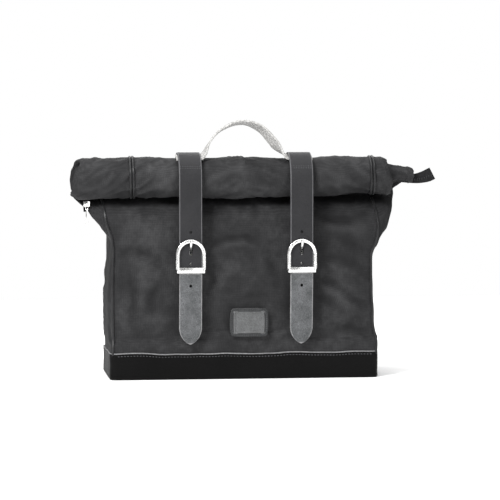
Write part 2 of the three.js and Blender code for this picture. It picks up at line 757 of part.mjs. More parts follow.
// A screw with its head against a face at y = seat and its nut inside the bag.
function throughScrew(x, z, seat) {
  const nutBack = clothHalfDepth - cloth / 2 - 3 * gap - backBoard - railBacking;
  return turned([[0, nutBack - 3], [screwHead, nutBack - 3], [screwHead, nutBack], [screwShank, nutBack],
    [screwShank, seat + gap], [screwHead, seat + gap], [screwHead - 0.6, seat + gap + 1.8],
    [0, seat + gap + 1.8]], x, z);
}

const hookFront = railFront + railWeb + gap;
const hookSeat = railBack + gap;
const throatFront = hookSeat + hookPlate;
const throatBack = throatFront + hookThroat;
const hookTop = railMiddle + hookRise;
const leverPin = [throatFront + 4.5, railMiddle - 8];
const leverWidth = 12;

function hookBody(side) {
  const x = side * hookSpacing / 2;
  const foot = railHeight / 2 - 4 - 2 * gap;
  const neck = railHeight / 2 - 7.5 - 2 * gap;
  const outline = [[hookFront, railMiddle - foot], [railBack - railWeb - gap, railMiddle - foot],
    [railBack - railWeb - gap, railMiddle - neck], [hookSeat, railMiddle - neck], [hookSeat, railMiddle - 16],
    [throatFront, railMiddle - 16], [throatFront, hookTop - 6], [throatBack, hookTop - 6],
    [throatBack, railMiddle + 12], [throatBack + 6, railMiddle + 12], [throatBack + 6, hookTop - 4],
    [throatBack + 2, hookTop], [hookSeat, hookTop], [hookSeat, railMiddle + neck],
    [railBack - railWeb - gap, railMiddle + neck], [railBack - railWeb - gap, railMiddle + foot],
    [hookFront, railMiddle + foot]];
  const pieces = [alongX(outline, x - hookWidth / 2, x + hookWidth / 2)];
  for (const end of [-1, 1]) {
    const edges = [x + end * (leverWidth / 2 + 0.4), x + end * (leverWidth / 2 + 4)].sort((a, b) => a - b);
    pieces.push(box(edges[0], edges[1], throatFront - 1, leverPin[0] + 4, leverPin[1] - 5, leverPin[1] + 5));
  }
  return cut(join(pieces), [rodX(pinRadius + gap, x - 11, x + 11, leverPin[0], leverPin[1])]);
}

function hookLever(side) {
  const x = side * hookSpacing / 2;
  const half = leverWidth / 2;
  const line = [leverPin, [throatBack - 3.4, railMiddle + 17]];
  const finger = alongX(ribbon(line, 4), x - half, x + half);
  const hub = rodX(4, x - half, x + half, leverPin[0], leverPin[1]);
  return cut(join([finger, hub]), [rodX(pinRadius + gap, x - 20, x + 20, leverPin[0], leverPin[1])]);
}

function hookPin(side) {
  const x = side * hookSpacing / 2;
  return rodX(pinRadius, x - leverWidth / 2 - 4, x + leverWidth / 2 + 4, leverPin[0], leverPin[1]);
}

const stayPlateThick = 3;
const stayPlateBack = backFace + gap + stayPlateThick;
const stayArmFront = stayPlateBack + gap;
const stayArmThick = 4;

function stayPlate() {
  const half = stayPlateWidth / 2;
  const plate = box(-half, half, backFace + gap, stayPlateBack, stayMiddle - stayPlateHeight / 2,
    stayMiddle + stayPlateHeight / 2);
  const holes = stayScrews.map((x) => rodY(screwShank + gap, 0, 200, x, stayMiddle));
  return cut(plate, [...holes, rodY(screwShank + gap, stayPlateBack - 2.2, 200, 0, stayMiddle)]);
}

function stayBacking() {
  const back = clothHalfDepth - cloth / 2 - 2 * gap - backBoard;
  const half = stayPlateWidth / 2;
  const holes = stayScrews.map((x) => rodY(screwShank + gap, 0, 200, x, stayMiddle));
  return cut(box(-half, half, back - railBacking, back, stayMiddle - 8, stayMiddle + 8), holes);
}

// The arm hangs from its pivot and its fin catches behind the rack's leg.
function stayArm() {
  const shape = new THREE.Shape();
  shape.absarc(0, stayMiddle, 9, 0, Math.PI);
  shape.absarc(0, stayMiddle - stayArmLength, 6, Math.PI, 2 * Math.PI);
  const arm = alongY(shape, stayArmFront, stayArmFront + stayArmThick);
  const fin = box(-2.5, 2.5, stayArmFront + 1, stayArmFront + stayArmThick + stayFin,
    stayMiddle - stayArmLength - 4, stayMiddle - 22);
  return cut(join([arm, fin]), [rodY(screwShank + gap, 0, 200, 0, stayMiddle)]);
}

function stayPivot() {
  const back = stayArmFront + stayArmThick;
  return turned([[0, stayPlateBack - 1.8], [screwShank, stayPlateBack - 1.8], [screwShank, back + gap],
    [screwHead + 1, back + gap], [screwHead, back + gap + 2.2], [0, back + gap + 2.2]], 0, stayMiddle);
}

// ---------------------------------------------------------------- the whole bag
const sides = [['left', -1], ['right', 1]];

add('leather_base', leatherBase(), blackLeather);
add('base_board', baseStiffener(), board);
add('back_board', backStiffener(), board);
add('front_panel', frontPanel(), waxedCanvas);
add('back_panel', backPanel(), waxedCanvas);
add('rolled_mouth', rolledMouth(), waxedCanvas);
add('mouth_hem', mouthHem(), waxedCanvas);
add('roll_piping_left', rollPiping(rollPipingLeft), blackLeather);
add('roll_piping_right', rollPiping(rollPipingRight), blackLeather);
add('label_patch', labelPatch(), tailLeather);
add('zip_tape_left', zipTapeLeft(), zipTape);
add('zip_tape_right', zipTapeRight(), zipTape);
add('zip_slider', zipSlider(), nickel);
add('zip_puller', zipPuller(), nickel);
add('handle_grip', handleGrip(), greyLeather);
add('hook_rail', hookRail(), blackAluminium);
add('rail_backing', railBackingStrip(), steel);
add('stay_plate', stayPlate(), blackPlastic);
add('stay_backing', stayBacking(), steel);
add('stay_arm', stayArm(), blackPlastic);
add('stay_pivot', stayPivot(), steel);
for (const [name, side] of sides) {
  add(`${name}_gusset`, gusset(side), waxedCanvas);
  add(`front_piping_${name}`, bodyPiping(-1, side), blackLeather);
  add(`back_piping_${name}`, bodyPiping(1, side), blackLeather);
  add(`${name}_strap_upper`, strapUpper(side), strapLeather);
  add(`${name}_strap_middle`, strapMiddle(side), strapLeather);
  add(`${name}_strap_tail`, strapTail(side), tailLeather);
  add(`${name}_chape`, chape(side), strapLeather);
  add(`${name}_chape_rivet`, chapeRivet(side), nickel);
  add(`${name}_strap_rivet`, backRivet(side), nickel);
  add(`${name}_buckle_frame`, buckleFrame(side), nickel);
  add(`${name}_buckle_tongue`, tongue(side), nickel);
  add(`handle_foot_${name}`, handleFoot(side), greyLeather);
  add(`rail_cap_${name}`, railCap(side), blackPlastic);
  add(`${name}_hook_body`, hookBody(side), blackPlastic);
  add(`${name}_hook_lever`, hookLever(side), blackPlastic);
  add(`${name}_hook_pin`, hookPin(side), steel);
}
screwPlaces.forEach((x, i) => add(`rail_screw_${i + 1}`, throughScrew(x, railMiddle, railFront + railWeb), steel));
stayScrews.forEach((x, i) => add(`stay_screw_${i + 1}`, throughScrew(x, stayMiddle, stayPlateBack), steel));

export default parts;
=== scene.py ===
# %% [markdown]
# # A roll-top pannier bag
# The bag is waxed canvas on a leather tray. Its mouth is rolled forward round its own hem and held down
# by two long straps, which buckle to short chapes on the front. A strip of lighter leather makes the
# carrying handle, and a rail with two hooks hangs the bag on a carrier.
# The imported CAD model is the frame for everything here: it is loaded first, and each piece that
# is made below, save the upper straps and the handle, rides on one of its bodies, in metres, in the same
# place.

# %% Load the frame
import math

import bmesh
import bpy
from mathutils import Matrix, Vector, noise


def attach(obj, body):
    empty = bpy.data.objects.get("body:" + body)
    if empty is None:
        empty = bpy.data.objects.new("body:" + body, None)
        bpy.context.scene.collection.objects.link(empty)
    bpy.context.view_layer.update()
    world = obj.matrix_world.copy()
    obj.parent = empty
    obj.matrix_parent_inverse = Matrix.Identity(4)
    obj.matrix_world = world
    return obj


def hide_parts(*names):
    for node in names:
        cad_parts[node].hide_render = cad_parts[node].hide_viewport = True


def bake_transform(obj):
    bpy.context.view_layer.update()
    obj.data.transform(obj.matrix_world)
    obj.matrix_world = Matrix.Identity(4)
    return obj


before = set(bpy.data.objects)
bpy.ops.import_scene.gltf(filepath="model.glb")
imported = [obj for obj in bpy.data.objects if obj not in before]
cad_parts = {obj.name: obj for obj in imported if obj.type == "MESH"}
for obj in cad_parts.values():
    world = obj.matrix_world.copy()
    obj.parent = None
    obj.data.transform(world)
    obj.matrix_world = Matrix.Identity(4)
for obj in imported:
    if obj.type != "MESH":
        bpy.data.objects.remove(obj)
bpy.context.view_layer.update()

scene = bpy.context.scene
scene.view_settings.view_transform = "Standard"
MM = 0.001

# %% [markdown]
# ## Camera, floor and light
# The bag is seen from far away with a long lens, a little from its left and hardly above it, so its
# sides stay nearly parallel. The camera is placed from the angle and the distance that it looks from.
# A white room lights it evenly, and a broad lamp from above gives the roll its dark underside.

# %% Camera
def looking_from(azimuth, elevation):
    a, e = math.radians(azimuth), math.radians(elevation)
    return Vector((math.sin(a) * math.cos(e), -math.cos(a) * math.cos(e), math.sin(e)))


camera_side = looking_from(-6.95, 3.29)
CAMERA_AIM, CAMERA_AWAY = Vector((0.0136, -0.020, 0.1781)), 3.769
camera_data = bpy.data.cameras.new("camera")
camera_data.sensor_width = 36
camera_data.lens = 190.96
camera_data.clip_start = 0.05
camera = bpy.data.objects.new("camera", camera_data)
scene.collection.objects.link(camera)
camera.location = CAMERA_AIM + camera_side * CAMERA_AWAY
camera.rotation_mode = "QUATERNION"
camera.rotation_quaternion = (-camera_side).to_track_quat("-Z", "Y")
scene.camera = camera
print("camera", [round(c, 3) for c in camera.location])

# %% [markdown]
# Colours are written as they look on a screen, and one function turns them into the linear values that
# a shader wants. Every node tree below is built with one small function too: it adds a node, sets it up
# and links what goes into it, so a material reads as a list of its steps.

# %% Colours and nodes
def linear(code):
    """An sRGB hex colour as the linear values that a shader wants."""
    parts = [int(code[i:i + 2], 16) / 255 for i in (1, 3, 5)]
    return [c / 12.92 if c <= 0.04045 else ((c + 0.055) / 1.055) ** 2.4 for c in parts] + [1]


def add(tree, kind, settings=None, **links):
    """Adds a node. settings are its own properties. links are values, outputs, or nodes whose first
    output is meant, for its inputs by name, or by number as i0, i1. A space in a name is written _."""
    made = tree.nodes.new(kind)
    for key, value in (settings or {}).items():
        setattr(made, key, value)
    for key, value in links.items():
        spot = int(key[1:]) if key[0] == "i" and key[1:].isdigit() else key.replace("_", " ")
        socket = made.inputs[spot]
        if isinstance(value, bpy.types.Node):
            value = value.outputs[0]
        if isinstance(value, bpy.types.NodeSocket):
            tree.links.new(value, socket)
        else:
            socket.default_value = value
    return made


def new_material(name, **shader_values):
    """A material with one Principled shader, whose constant values are set on its own sockets."""
    material = bpy.data.materials.new(name)
    material.use_nodes = True
    tree = material.node_tree
    shader = tree.nodes["Principled BSDF"]
    for key, value in shader_values.items():
        shader.inputs[key.replace("_", " ")].default_value = value
    return material, tree, shader


def set_stops(ramp, *stops):
    """Sets a colour ramp's stops, each a place and a hex colour."""
    points = ramp.color_ramp.elements
    while len(points) < len(stops):
        points.new(0.5)
    for point, (place, code) in zip(points, stops):
        point.position, point.color = place, linear(code)


# %% [markdown]
# The floor is a large sheet of white paper with a faint grain. It could be a curved backdrop, but a flat
# sheet that ends a little way behind the bag gives the same clean horizon, because the room is white too.

# %% Floor
bm = bmesh.new()
bmesh.ops.create_grid(bm, x_segments=1, y_segments=1, size=1.6)
floor_mesh = bpy.data.meshes.new("floor")
bm.to_mesh(floor_mesh)
bm.free()
floor = bpy.data.objects.new("floor", floor_mesh)
floor.location = (0, -0.2, 0)
scene.collection.objects.link(floor)
# White paper: matt, with fibres that only just show in its colour.
paper, tree, shader = new_material("white_paper", Roughness=0.9, Specular_IOR_Level=0.1)
place = add(tree, "ShaderNodeTexCoord").outputs["Object"]
fibres = add(tree, "ShaderNodeTexNoise", Scale=300.0, Vector=place)
tint = add(tree, "ShaderNodeValToRGB", Fac=fibres)
set_stops(tint, (0.3, "#fbfbfb"), (0.7, "#ffffff"))
tree.links.new(tint.outputs["Color"], shader.inputs["Base Color"])
floor_mesh.materials.append(paper)
print("floor made")

# %% [markdown]
# Four broad lamps stand round the bag: the key from the front left shapes the folds, the fill opens the
# right side, the one overhead puts the dark band under the roll, and the one behind lights the back. The
# room looks white to the camera but lights the bag only a little, so the lamps keep the folds readable.

# %% Lamps and room
def lamp(name, azimuth, elevation, away, size, power):
    """A square lamp that faces the bag."""
    data = bpy.data.lights.new(name, "AREA")
    data.shape, data.size, data.energy = "SQUARE", size, power
    made = bpy.data.objects.new(name, data)
    side = looking_from(azimuth, elevation)
    made.location = Vector((0, 0, 0.18)) + side * away
    made.rotation_mode = "QUATERNION"
    made.rotation_quaternion = side.to_track_quat("Z", "Y")
    scene.collection.objects.link(made)


lamp("key_lamp", -40, 34, 2.4, 0.7, 64)
lamp("fill_lamp", 25, 14, 3.0, 1.6, 24)
lamp("top_lamp", 5, 84, 2.4, 2.2, 62)
lamp("back_lamp", 180, 40, 3.0, 2.0, 40)
scene.world = scene.world or bpy.data.worlds.new("room")
scene.world.use_nodes = True
room = scene.world.node_tree
seen = add(room, "ShaderNodeLightPath").outputs["Is Camera Ray"]
strength = add(room, "ShaderNodeMapRange", i0=seen, i3=0.2, i4=1.0)
room.links.new(strength.outputs[0], room.nodes["Background"].inputs["Strength"])
room.nodes["Background"].inputs["Color"].default_value = (1, 1, 1, 1)
# %% [markdown]
# ## Materials
# Cloth, leather and metal each get their look from how they are made. A pattern reads Object
# coordinates, which here are the bag's own metres, so every scale below is a real size: one over the
# size in metres gives the texture's scale. Threads and grain finer than a millimetre wouldn't show at
# this distance, so they are drawn two or three times as coarse.
# Canvas is two sets of threads that cross. Wax gathers in blotches over it and cracks pale where the cloth
# stands out. Its hollows are darker, and the front in the roll's shadow is darkened too, as painted shade.
# Threads could be an image, but a sine of the distance along each set's direction follows the cloth in
# metres and never repeats a flaw.

# %% Waxed canvas
def woven(name, dark, middle, light, pitch_mm, relief_mm, roughness, wear_and_painted_shade=None):
    """Woven cloth with wax rubbed in. Its last argument names the attribute that says where the cloth is
    scuffed pale, where its hollows are darker, and where painted shade darkens it under the roll.
    """
    material, tree, shader = new_material(name, Specular_IOR_Level=0.12)
    place = add(tree, "ShaderNodeTexCoord").outputs["Object"]
    wobble = add(tree, "ShaderNodeTexNoise", Vector=place, Scale=1 / (14 * MM), Detail=3.0)
    half_pitch = pitch_mm * MM / 2
    wander = add(tree, "ShaderNodeMapRange", i0=wobble, i3=-half_pitch, i4=half_pitch)
    sets = []
    for direction in ((1.0, 1.0, 0.0), (0.0, -0.7, 1.0)):
        across = add(tree, "ShaderNodeVectorMath", {"operation": "DOT_PRODUCT"}, i0=place, i1=direction)
        moved = add(tree, "ShaderNodeMath", {"operation": "ADD"}, i0=across.outputs["Value"], i1=wander)
        turns = add(tree, "ShaderNodeMath", {"operation": "MULTIPLY"}, i0=moved, i1=math.pi / half_pitch)
        wave = add(tree, "ShaderNodeMath", {"operation": "SINE"}, i0=turns)
        sets.append(add(tree, "ShaderNodeMapRange", i0=wave, i1=-1.0))
    weave = add(tree, "ShaderNodeMath", {"operation": "MAXIMUM"}, i0=sets[0], i1=sets[1])
    crossings = add(tree, "ShaderNodeMath", {"operation": "MULTIPLY"}, i0=sets[0], i1=sets[1])

    patches = add(tree, "ShaderNodeTexNoise", Vector=place, Scale=1 / (75 * MM), Detail=4.0, Roughness=0.6)
    spots = add(tree, "ShaderNodeTexNoise", Vector=place, Scale=1 / (11 * MM), Detail=4.0, Roughness=0.7)
    large = add(tree, "ShaderNodeMath", {"operation": "MULTIPLY"}, i0=patches, i1=0.65)
    blotches = add(tree, "ShaderNodeMath", {"operation": "MULTIPLY_ADD"}, i0=spots, i1=0.35, i2=large)
    wax = add(tree, "ShaderNodeValToRGB", Fac=blotches)
    set_stops(wax, (0.36, dark), (0.5, middle), (0.64, light))
    if wear_and_painted_shade:
        wear_shade_fac = add(tree, "ShaderNodeAttribute", {"attribute_name": wear_and_painted_shade}).outputs["Fac"]
        # The pale colour is for scuffed crests. The dark one is for hollows, and is painted shade in the band
        # under the roll.
        for end, most, code in ((1.0, 0.3, "#565657"), (-1.0, 0.6, "#151516")):
            share = add(tree, "ShaderNodeMapRange", i0=wear_shade_fac, i2=end, i4=most)
            wax = add(tree, "ShaderNodeMix", {"data_type": "RGBA"}, i0=share, i6=wax,
                      i7=linear(code)).outputs[2]
    shade = add(tree, "ShaderNodeValToRGB", Fac=crossings)
    set_stops(shade, (0.0, "#d9d9d9"), (0.7, "#ffffff"))
    colour = add(tree, "ShaderNodeMix", {"data_type": "RGBA", "blend_type": "MULTIPLY"}, i0=1.0, i6=wax,
                 i7=shade)
    gloss = add(tree, "ShaderNodeMapRange", i0=blotches, i1=0.3, i2=0.7, i3=roughness - 0.12,
                i4=roughness + 0.1)
    lumps = add(tree, "ShaderNodeTexNoise", Vector=place, Scale=1 / (22 * MM), Detail=4.0, Roughness=0.6)
    rumpled = add(tree, "ShaderNodeBump", Height=lumps, Strength=0.6, Distance=2.2 * MM)
    relief = add(tree, "ShaderNodeBump", Height=weave, Strength=0.45, Distance=relief_mm * MM,
                 Normal=rumpled)
    tree.links.new(colour.outputs[2], shader.inputs["Base Color"])
    tree.links.new(gloss.outputs[0], shader.inputs["Roughness"])
    tree.links.new(relief.outputs[0], shader.inputs["Normal"])
    return material


# Waxed cotton canvas, dark grey and nearly matt. Its threads are 0.9 mm apart, drawn at 2.2 mm.
waxed_canvas = woven("waxed_canvas", "#222223", "#2d2d2e", "#3d3d3e", 2.2, 0.2, 0.74, "wear_and_painted_shade")
# The zip's polyester tape is black, with a finer herringbone that reads as fine threads.
polyester_tape = woven("polyester_zip_tape", "#131314", "#1b1b1c", "#29292a", 1.8, 0.2, 0.8)
# Bonded nylon thread is a tight twist with a dull shine.
thread = woven("bonded_nylon_thread", "#4a4a4b", "#58585a", "#66666a", 0.8, 0.1, 0.6)
print("cloths", waxed_canvas.name, polyester_tape.name, thread.name)

# %% [markdown]
# Leather is one skin with small pebbles and valleys between them. Voronoi cells give the pebbles, bent by
# a noise so that no two are alike. A slow drift of colour runs along the hide, and the gloss drifts
# with it, as it does where hands have rubbed.

# %% Leathers
def leather(name, dark, light, grain_mm, relief_mm, roughness, crease_mm=40, coat=0.0, gloss=0.2):
    """Tanned hide, with pebbles grain_mm across and a drift of colour every crease_mm."""
    material, tree, shader = new_material(name, Specular_IOR_Level=gloss, Coat_Weight=coat,
                                          Coat_Roughness=0.3)
    place = add(tree, "ShaderNodeTexCoord").outputs["Object"]
    grain = grain_mm * MM
    swirl = add(tree, "ShaderNodeTexNoise", Vector=place, Scale=1 / (6 * grain)).outputs["Color"]
    shift = add(tree, "ShaderNodeVectorMath", {"operation": "SCALE"}, i0=swirl, Scale=1.5 * grain)
    bent = add(tree, "ShaderNodeVectorMath", {"operation": "ADD"}, i0=place, i1=shift)
    pebbles = add(tree, "ShaderNodeTexVoronoi", {"feature": "DISTANCE_TO_EDGE"}, Vector=bent,
                  Scale=1 / grain)
    rise = add(tree, "ShaderNodeMapRange", i0=pebbles, i2=0.25)

    drift = add(tree, "ShaderNodeTexNoise", Vector=place, Scale=1 / (crease_mm * MM), Detail=4.0,
                Roughness=0.6)
    fine = add(tree, "ShaderNodeTexNoise", Vector=place, Scale=1 / (2.2 * MM), Detail=3.0, Roughness=0.7)
    slow = add(tree, "ShaderNodeMath", {"operation": "MULTIPLY"}, i0=drift, i1=0.6)
    tint = add(tree, "ShaderNodeMath", {"operation": "MULTIPLY_ADD"}, i0=fine, i1=0.4, i2=slow)
    hide = add(tree, "ShaderNodeValToRGB", Fac=tint)
    set_stops(hide, (0.36, dark), (0.64, light))
    valley = add(tree, "ShaderNodeValToRGB", Fac=rise)
    set_stops(valley, (0.0, "#c4c4c4"), (0.6, "#ffffff"))
    colour = add(tree, "ShaderNodeMix", {"data_type": "RGBA", "blend_type": "MULTIPLY"}, i0=1.0, i6=hide,
                 i7=valley)
    sheen = add(tree, "ShaderNodeMapRange", i0=tint, i1=0.3, i2=0.7, i3=roughness - 0.1,
                i4=roughness + 0.12)
    creased = add(tree, "ShaderNodeBump", Height=drift, Strength=0.3, Distance=1.0 * MM)
    relief = add(tree, "ShaderNodeBump", Height=rise, Strength=0.7, Distance=relief_mm * MM,
                 Normal=creased)
    tree.links.new(colour.outputs[2], shader.inputs["Base Color"])
    tree.links.new(sheen.outputs[0], shader.inputs["Roughness"])
    tree.links.new(relief.outputs[0], shader.inputs["Normal"])
    return material


# The tray is smooth black hide with a plain finish, so it has a soft shine and hardly any grain.
base_leather = leather("smooth_black_hide", "#060606", "#0c0c0c", 1.6, 0.06, 0.52, 90, 0.0, 0.08)
# The straps are vegetable-tanned bridle leather, dyed dark grey, with a tight grain.
strap_leather = leather("bridle_leather", "#212123", "#2c2c2e", 1.3, 0.06, 0.58, 60)
# The tails are the straps' own leather, painted paler as a highlight for the light from above that
# they catch where they tilt out. They are also dry and pebbled.
tail_leather_painted_light = leather("pebbled_tail_leather_painted_light", "#484a4b", "#68696b", 2.0, 0.25, 0.68, 16)
# The handle is pale grey leather.
handle_leather = leather("pale_grey_handle_leather", "#a8a7a5", "#bbbab8", 4.5, 0.005, 0.7, 60)
# A strap's eased edges are burnished, which leaves them paler than its face.
strap_edge = leather("burnished_strap_edge", "#4c4c4e", "#5e5e60", 1.3, 0.03, 0.5, 30)
# The label is pressed from grey hide, a little shiny on its raised parts.
label_leather = leather("pressed_grey_leather", "#505151", "#666768", 1.4, 0.08, 0.5, 12)
# Its rim, outside the pressed frame, has taken more dye.
label_rim = leather("dyed_label_rim", "#2c2d2e", "#3a3b3c", 1.4, 0.08, 0.5, 12)
# Cut edges show the hide's pale fibres.
cut_edge = leather("raw_leather_edge", "#6c6c6d", "#8e8e8f", 1.2, 0.1, 0.8, 6)
# The piping is a cord wrapped in thin shiny hide.
piping_leather = leather("wrapped_piping_leather", "#1d1d1e", "#2b2b2c", 1.6, 0.05, 0.45, 20, 0.08)
print("leathers", [m.name for m in bpy.data.materials if "leather" in m.name or "hide" in m.name])

# %% [markdown]
# Metal gets its colour from the metal itself, so its base colour is nearly the whole look. Fine rub marks,
# long along the height, soften its reflections. They could be modelled, but they are far finer than
# anything the shape needs.

# %% Metals
def metal(name, dark, light, roughness, scratch_mm=0.6):
    """A polished or plated metal, with rub marks in its gloss and a faint drift in its colour."""
    material, tree, shader = new_material(name, Metallic=1.0)
    place = add(tree, "ShaderNodeTexCoord").outputs["Object"]
    stretched = add(tree, "ShaderNodeMapping", Vector=place, Scale=(1.0, 1.0, 0.15))
    rubs = add(tree, "ShaderNodeTexNoise", Vector=stretched, Scale=1 / (scratch_mm * MM), Detail=2.0,
               Roughness=0.6)
    drift = add(tree, "ShaderNodeTexNoise", Vector=place, Scale=1 / (9 * MM), Detail=3.0, Roughness=0.6)
    colour = add(tree, "ShaderNodeValToRGB", Fac=drift)
    set_stops(colour, (0.35, dark), (0.65, light))
    gloss = add(tree, "ShaderNodeMapRange", i0=rubs, i1=0.3, i2=0.7, i3=roughness * 0.75,
                i4=roughness * 1.4)
    relief = add(tree, "ShaderNodeBump", Height=rubs, Strength=0.04, Distance=0.03 * MM)
    tree.links.new(colour.outputs[0], shader.inputs["Base Color"])
    tree.links.new(gloss.outputs[0], shader.inputs["Roughness"])
    tree.links.new(relief.outputs[0], shader.inputs["Normal"])
    return material


# Cast zinc under bright nickel plate: clear reflections, softened by handling.
nickel = metal("nickel_plated_zinc", "#e2e2e1", "#f5f5f3", 0.24)
# Zinc-plated steel screws and rivets are duller and a little blue.
steel = metal("zinc_plated_steel", "#a9acb0", "#c3c6ca", 0.32)
# The rail is extruded aluminium, bead-blasted and anodised black.
aluminium = metal("black_anodised_aluminium", "#26282b", "#34363a", 0.42, 0.4)
print("metals", nickel.name, steel.name, aluminium.name)

# %% [markdown]
# Moulded plastic copies its mould's fine spark-eroded texture, which makes it satin, not shiny. A plain
# rough shader would come close, but a fine noise in the relief and the gloss also breaks up highlights.

# %% Plastics
def moulded(name, dark, light, roughness, spark_mm):
    """Injection-moulded plastic, with a texture spark_mm across."""
    material, tree, shader = new_material(name, IOR=1.5)
    place = add(tree, "ShaderNodeTexCoord").outputs["Object"]
    texture = add(tree, "ShaderNodeTexNoise", Vector=place, Scale=1 / (spark_mm * MM), Detail=2.0,
                  Roughness=0.6)
    drift = add(tree, "ShaderNodeTexNoise", Vector=place, Scale=1 / (18 * MM), Detail=3.0, Roughness=0.6)
    colour = add(tree, "ShaderNodeValToRGB", Fac=drift)
    set_stops(colour, (0.35, dark), (0.65, light))
    satin = add(tree, "ShaderNodeMapRange", i0=texture, i1=0.3, i2=0.7, i3=roughness - 0.08,
                i4=roughness + 0.1)
    relief = add(tree, "ShaderNodeBump", Height=texture, Strength=0.5, Distance=0.08 * MM)
    tree.links.new(colour.outputs[0], shader.inputs["Base Color"])
    tree.links.new(satin.outputs[0], shader.inputs["Roughness"])
    tree.links.new(relief.outputs[0], shader.inputs["Normal"])
    return material


# Glass-filled nylon hooks are satin black.
nylon = moulded("glass_filled_nylon", "#17181a", "#222326", 0.48, 1.1)
# Polypropylene board is duller and a little grey.
board = moulded("polypropylene_board", "#232323", "#2e2e2e", 0.6, 1.6)
print("plastics", nylon.name, board.name)

# %% [markdown]
# ## Making a piece
# Every piece ends the same way: its mesh becomes an object at the origin, gets its finish and says
# which CAD nodes it stands for. A piece given one body is parented to it; a piece given between is not.
# Smooth shading breaks at sharp edges only.

# %% From mesh to piece
def piece(name, shape, finishes, body=None, stands_for=(), sharp=40, between=None):
    """shape is a bmesh or a mesh. between is (body, body, start, end), of which only whether it is given is
    used: such a piece is parented to no body.
    """
    mesh = shape
    if isinstance(shape, bmesh.types.BMesh):
        mesh = bpy.data.meshes.new(name)
        shape.to_mesh(mesh)
        shape.free()
    mesh.name = name
    for finish in finishes if isinstance(finishes, (list, tuple)) else [finishes]:
        mesh.materials.append(finish)
    mesh.shade_smooth()
    mesh.set_sharp_from_angle(angle=math.radians(sharp))
    made = bpy.data.objects.new(name, mesh)
    scene.collection.objects.link(made)
    if between:
        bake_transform(made)
    else:
        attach(made, body)
    if stands_for:
        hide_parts(*stands_for)
    return made


# %% [markdown]
# Some meshes need a modifier, a simulation or a curve to take shape. Those work on a loose object, and
# what it shows is then taken as a plain mesh, so that nothing is left to be worked out later.

# %% Meshes that something else shapes
def settled(made):
    """The mesh that an object shows with its modifiers, as a mesh of its own."""
    bpy.context.view_layer.update()
    shown = made.evaluated_get(bpy.context.evaluated_depsgraph_get())
    mesh = bpy.data.meshes.new_from_object(shown)
    bpy.data.objects.remove(made)
    return mesh


def loose(name, shape):
    """An object that only holds a mesh while modifiers work on it."""
    mesh = shape
    if isinstance(shape, bmesh.types.BMesh):
        mesh = bpy.data.meshes.new(name)
        shape.to_mesh(mesh)
        shape.free()
    made = bpy.data.objects.new(name, mesh)
    scene.collection.objects.link(made)
    return made


# %% [markdown]
# Much of a worn bag is neither straight nor a formula, so some lines are read off short lists of places
# and values, with smooth steps between them.

# %% Values between values
def mix(a, b, share):
    return a + (b - a) * share


def read_off(table, place):
    """A value from a list of (place, value) pairs, with smooth steps between them."""
    if place <= table[0][0]:
        return table[0][1]
    for (a, low), (b, high) in zip(table, table[1:]):
        if place <= b:
            share = (place - a) / (b - a)
            return mix(low, high, share * share * (3 - 2 * share))
    return table[-1][1]


# %% [markdown]
# ## The bag's cloth
# The front, the back, both gussets and the rolled mouth are one shell on the real bag, so they are one
# shell here. A flat grid is wrapped round: its columns go round the bag and its rows climb from
# the tray to the mouth, where the bag is flat, and then on round the roll. The gussets fold outwards
# below the roll as wings. Then the cloth is simulated, slightly too big for the shape that holds
# it, so that it sags and buckles as canvas does, and folds that wear has set are pressed in last.

# %% Sizes of the cloth, in millimetres
TRAY_TOP, SHOULDER, MOUTH = 36.0, 186.0, 258.0
ROLL_Y, ROLL_Z, ROLL_REACH, ROLL_PITCH, LAST_TURN = -53.614, 280.0, 28.5, 10.0, 702
MOUTH_Y, PANEL_DEPTH = -25.114, 72.0
# where the seams between the panels and the gussets run, by height
front_seam = {-1: [(0, -185), (120, -186), (190, -184), (238, -196), (262, -200)],
              1: [(30, 186), (56, 188), (80, 184), (130, 180), (178, 179), (197, 187),
                  (218, 191), (240, 188), (262, 184)]}
# how far the gussets stand out of their seams, by height
wing_out = {-1: [(0, 4), (140, 3.5), (198, 0.5), (218, 9), (228, 15), (238, 24), (246, 38), (256, 46)],
            1: [(0, 2), (60, 2), (100, 0.5), (172, 0.5), (197, 7), (214, 16), (245, 28), (262, 34)]}
# where the roll's two ends are, by the angle that the cloth has turned through
roll_left = [(0, -243), (60, -237), (110, -230), (180, -241), (250, -243), (330, -238), (504, -233),
             (702, -236)]
roll_right = [(0, 216), (60, 207), (110, 203), (200, 209), (285, 211), (340, 236), (430, 241), (702, 242)]


print("roll from", roll_left[0][1], "to", roll_right[0][1], "mm")

# %% [markdown]
# The plan of the bag changes with its height. The base keeps it boxy. It swells a little at half height,
# and above the shoulder the back leans forward to the mouth while the gussets fold out as wings. It could
# be sculpted, but four sides written as formulas of the height keep the seams where they are sewn.

# %% The plan of the bag
def swell(z):
    share = (z - TRAY_TOP) / (SHOULDER - TRAY_TOP)
    return math.sin(math.pi * share) if 0 < share < 1 else 0.0


def drawn_in(z):
    share = min(max((z - SHOULDER) / (MOUTH - SHOULDER), 0), 1)
    return (1 - math.cos(math.pi * share)) / 2


def gusset_reach(side, z, across):
    """How far a gusset stands out at a share of its depth: boxy in the bag, pointed in the wing."""
    out = read_off(wing_out[side], z)
    wing = min(max((out - 5) / 30, 0), 1)
    power = mix(5.0, 1.25, wing)
    arch = (1 - abs(2 * across - 1) ** power) ** (1 / mix(power, 1.25, wing))
    fullness = 3.0 if side < 0 else 1.0
    return out * arch + fullness * swell(z) * (1 - (2 * across - 1) ** 2)


# how far the front has gone in under the roll, by height: it stands nearly up to the roll, then folds in
front_in = [(205, 0), (232, 0.05), (242, 0.2), (249, 0.5), (254, 0.85), (258, 1)]


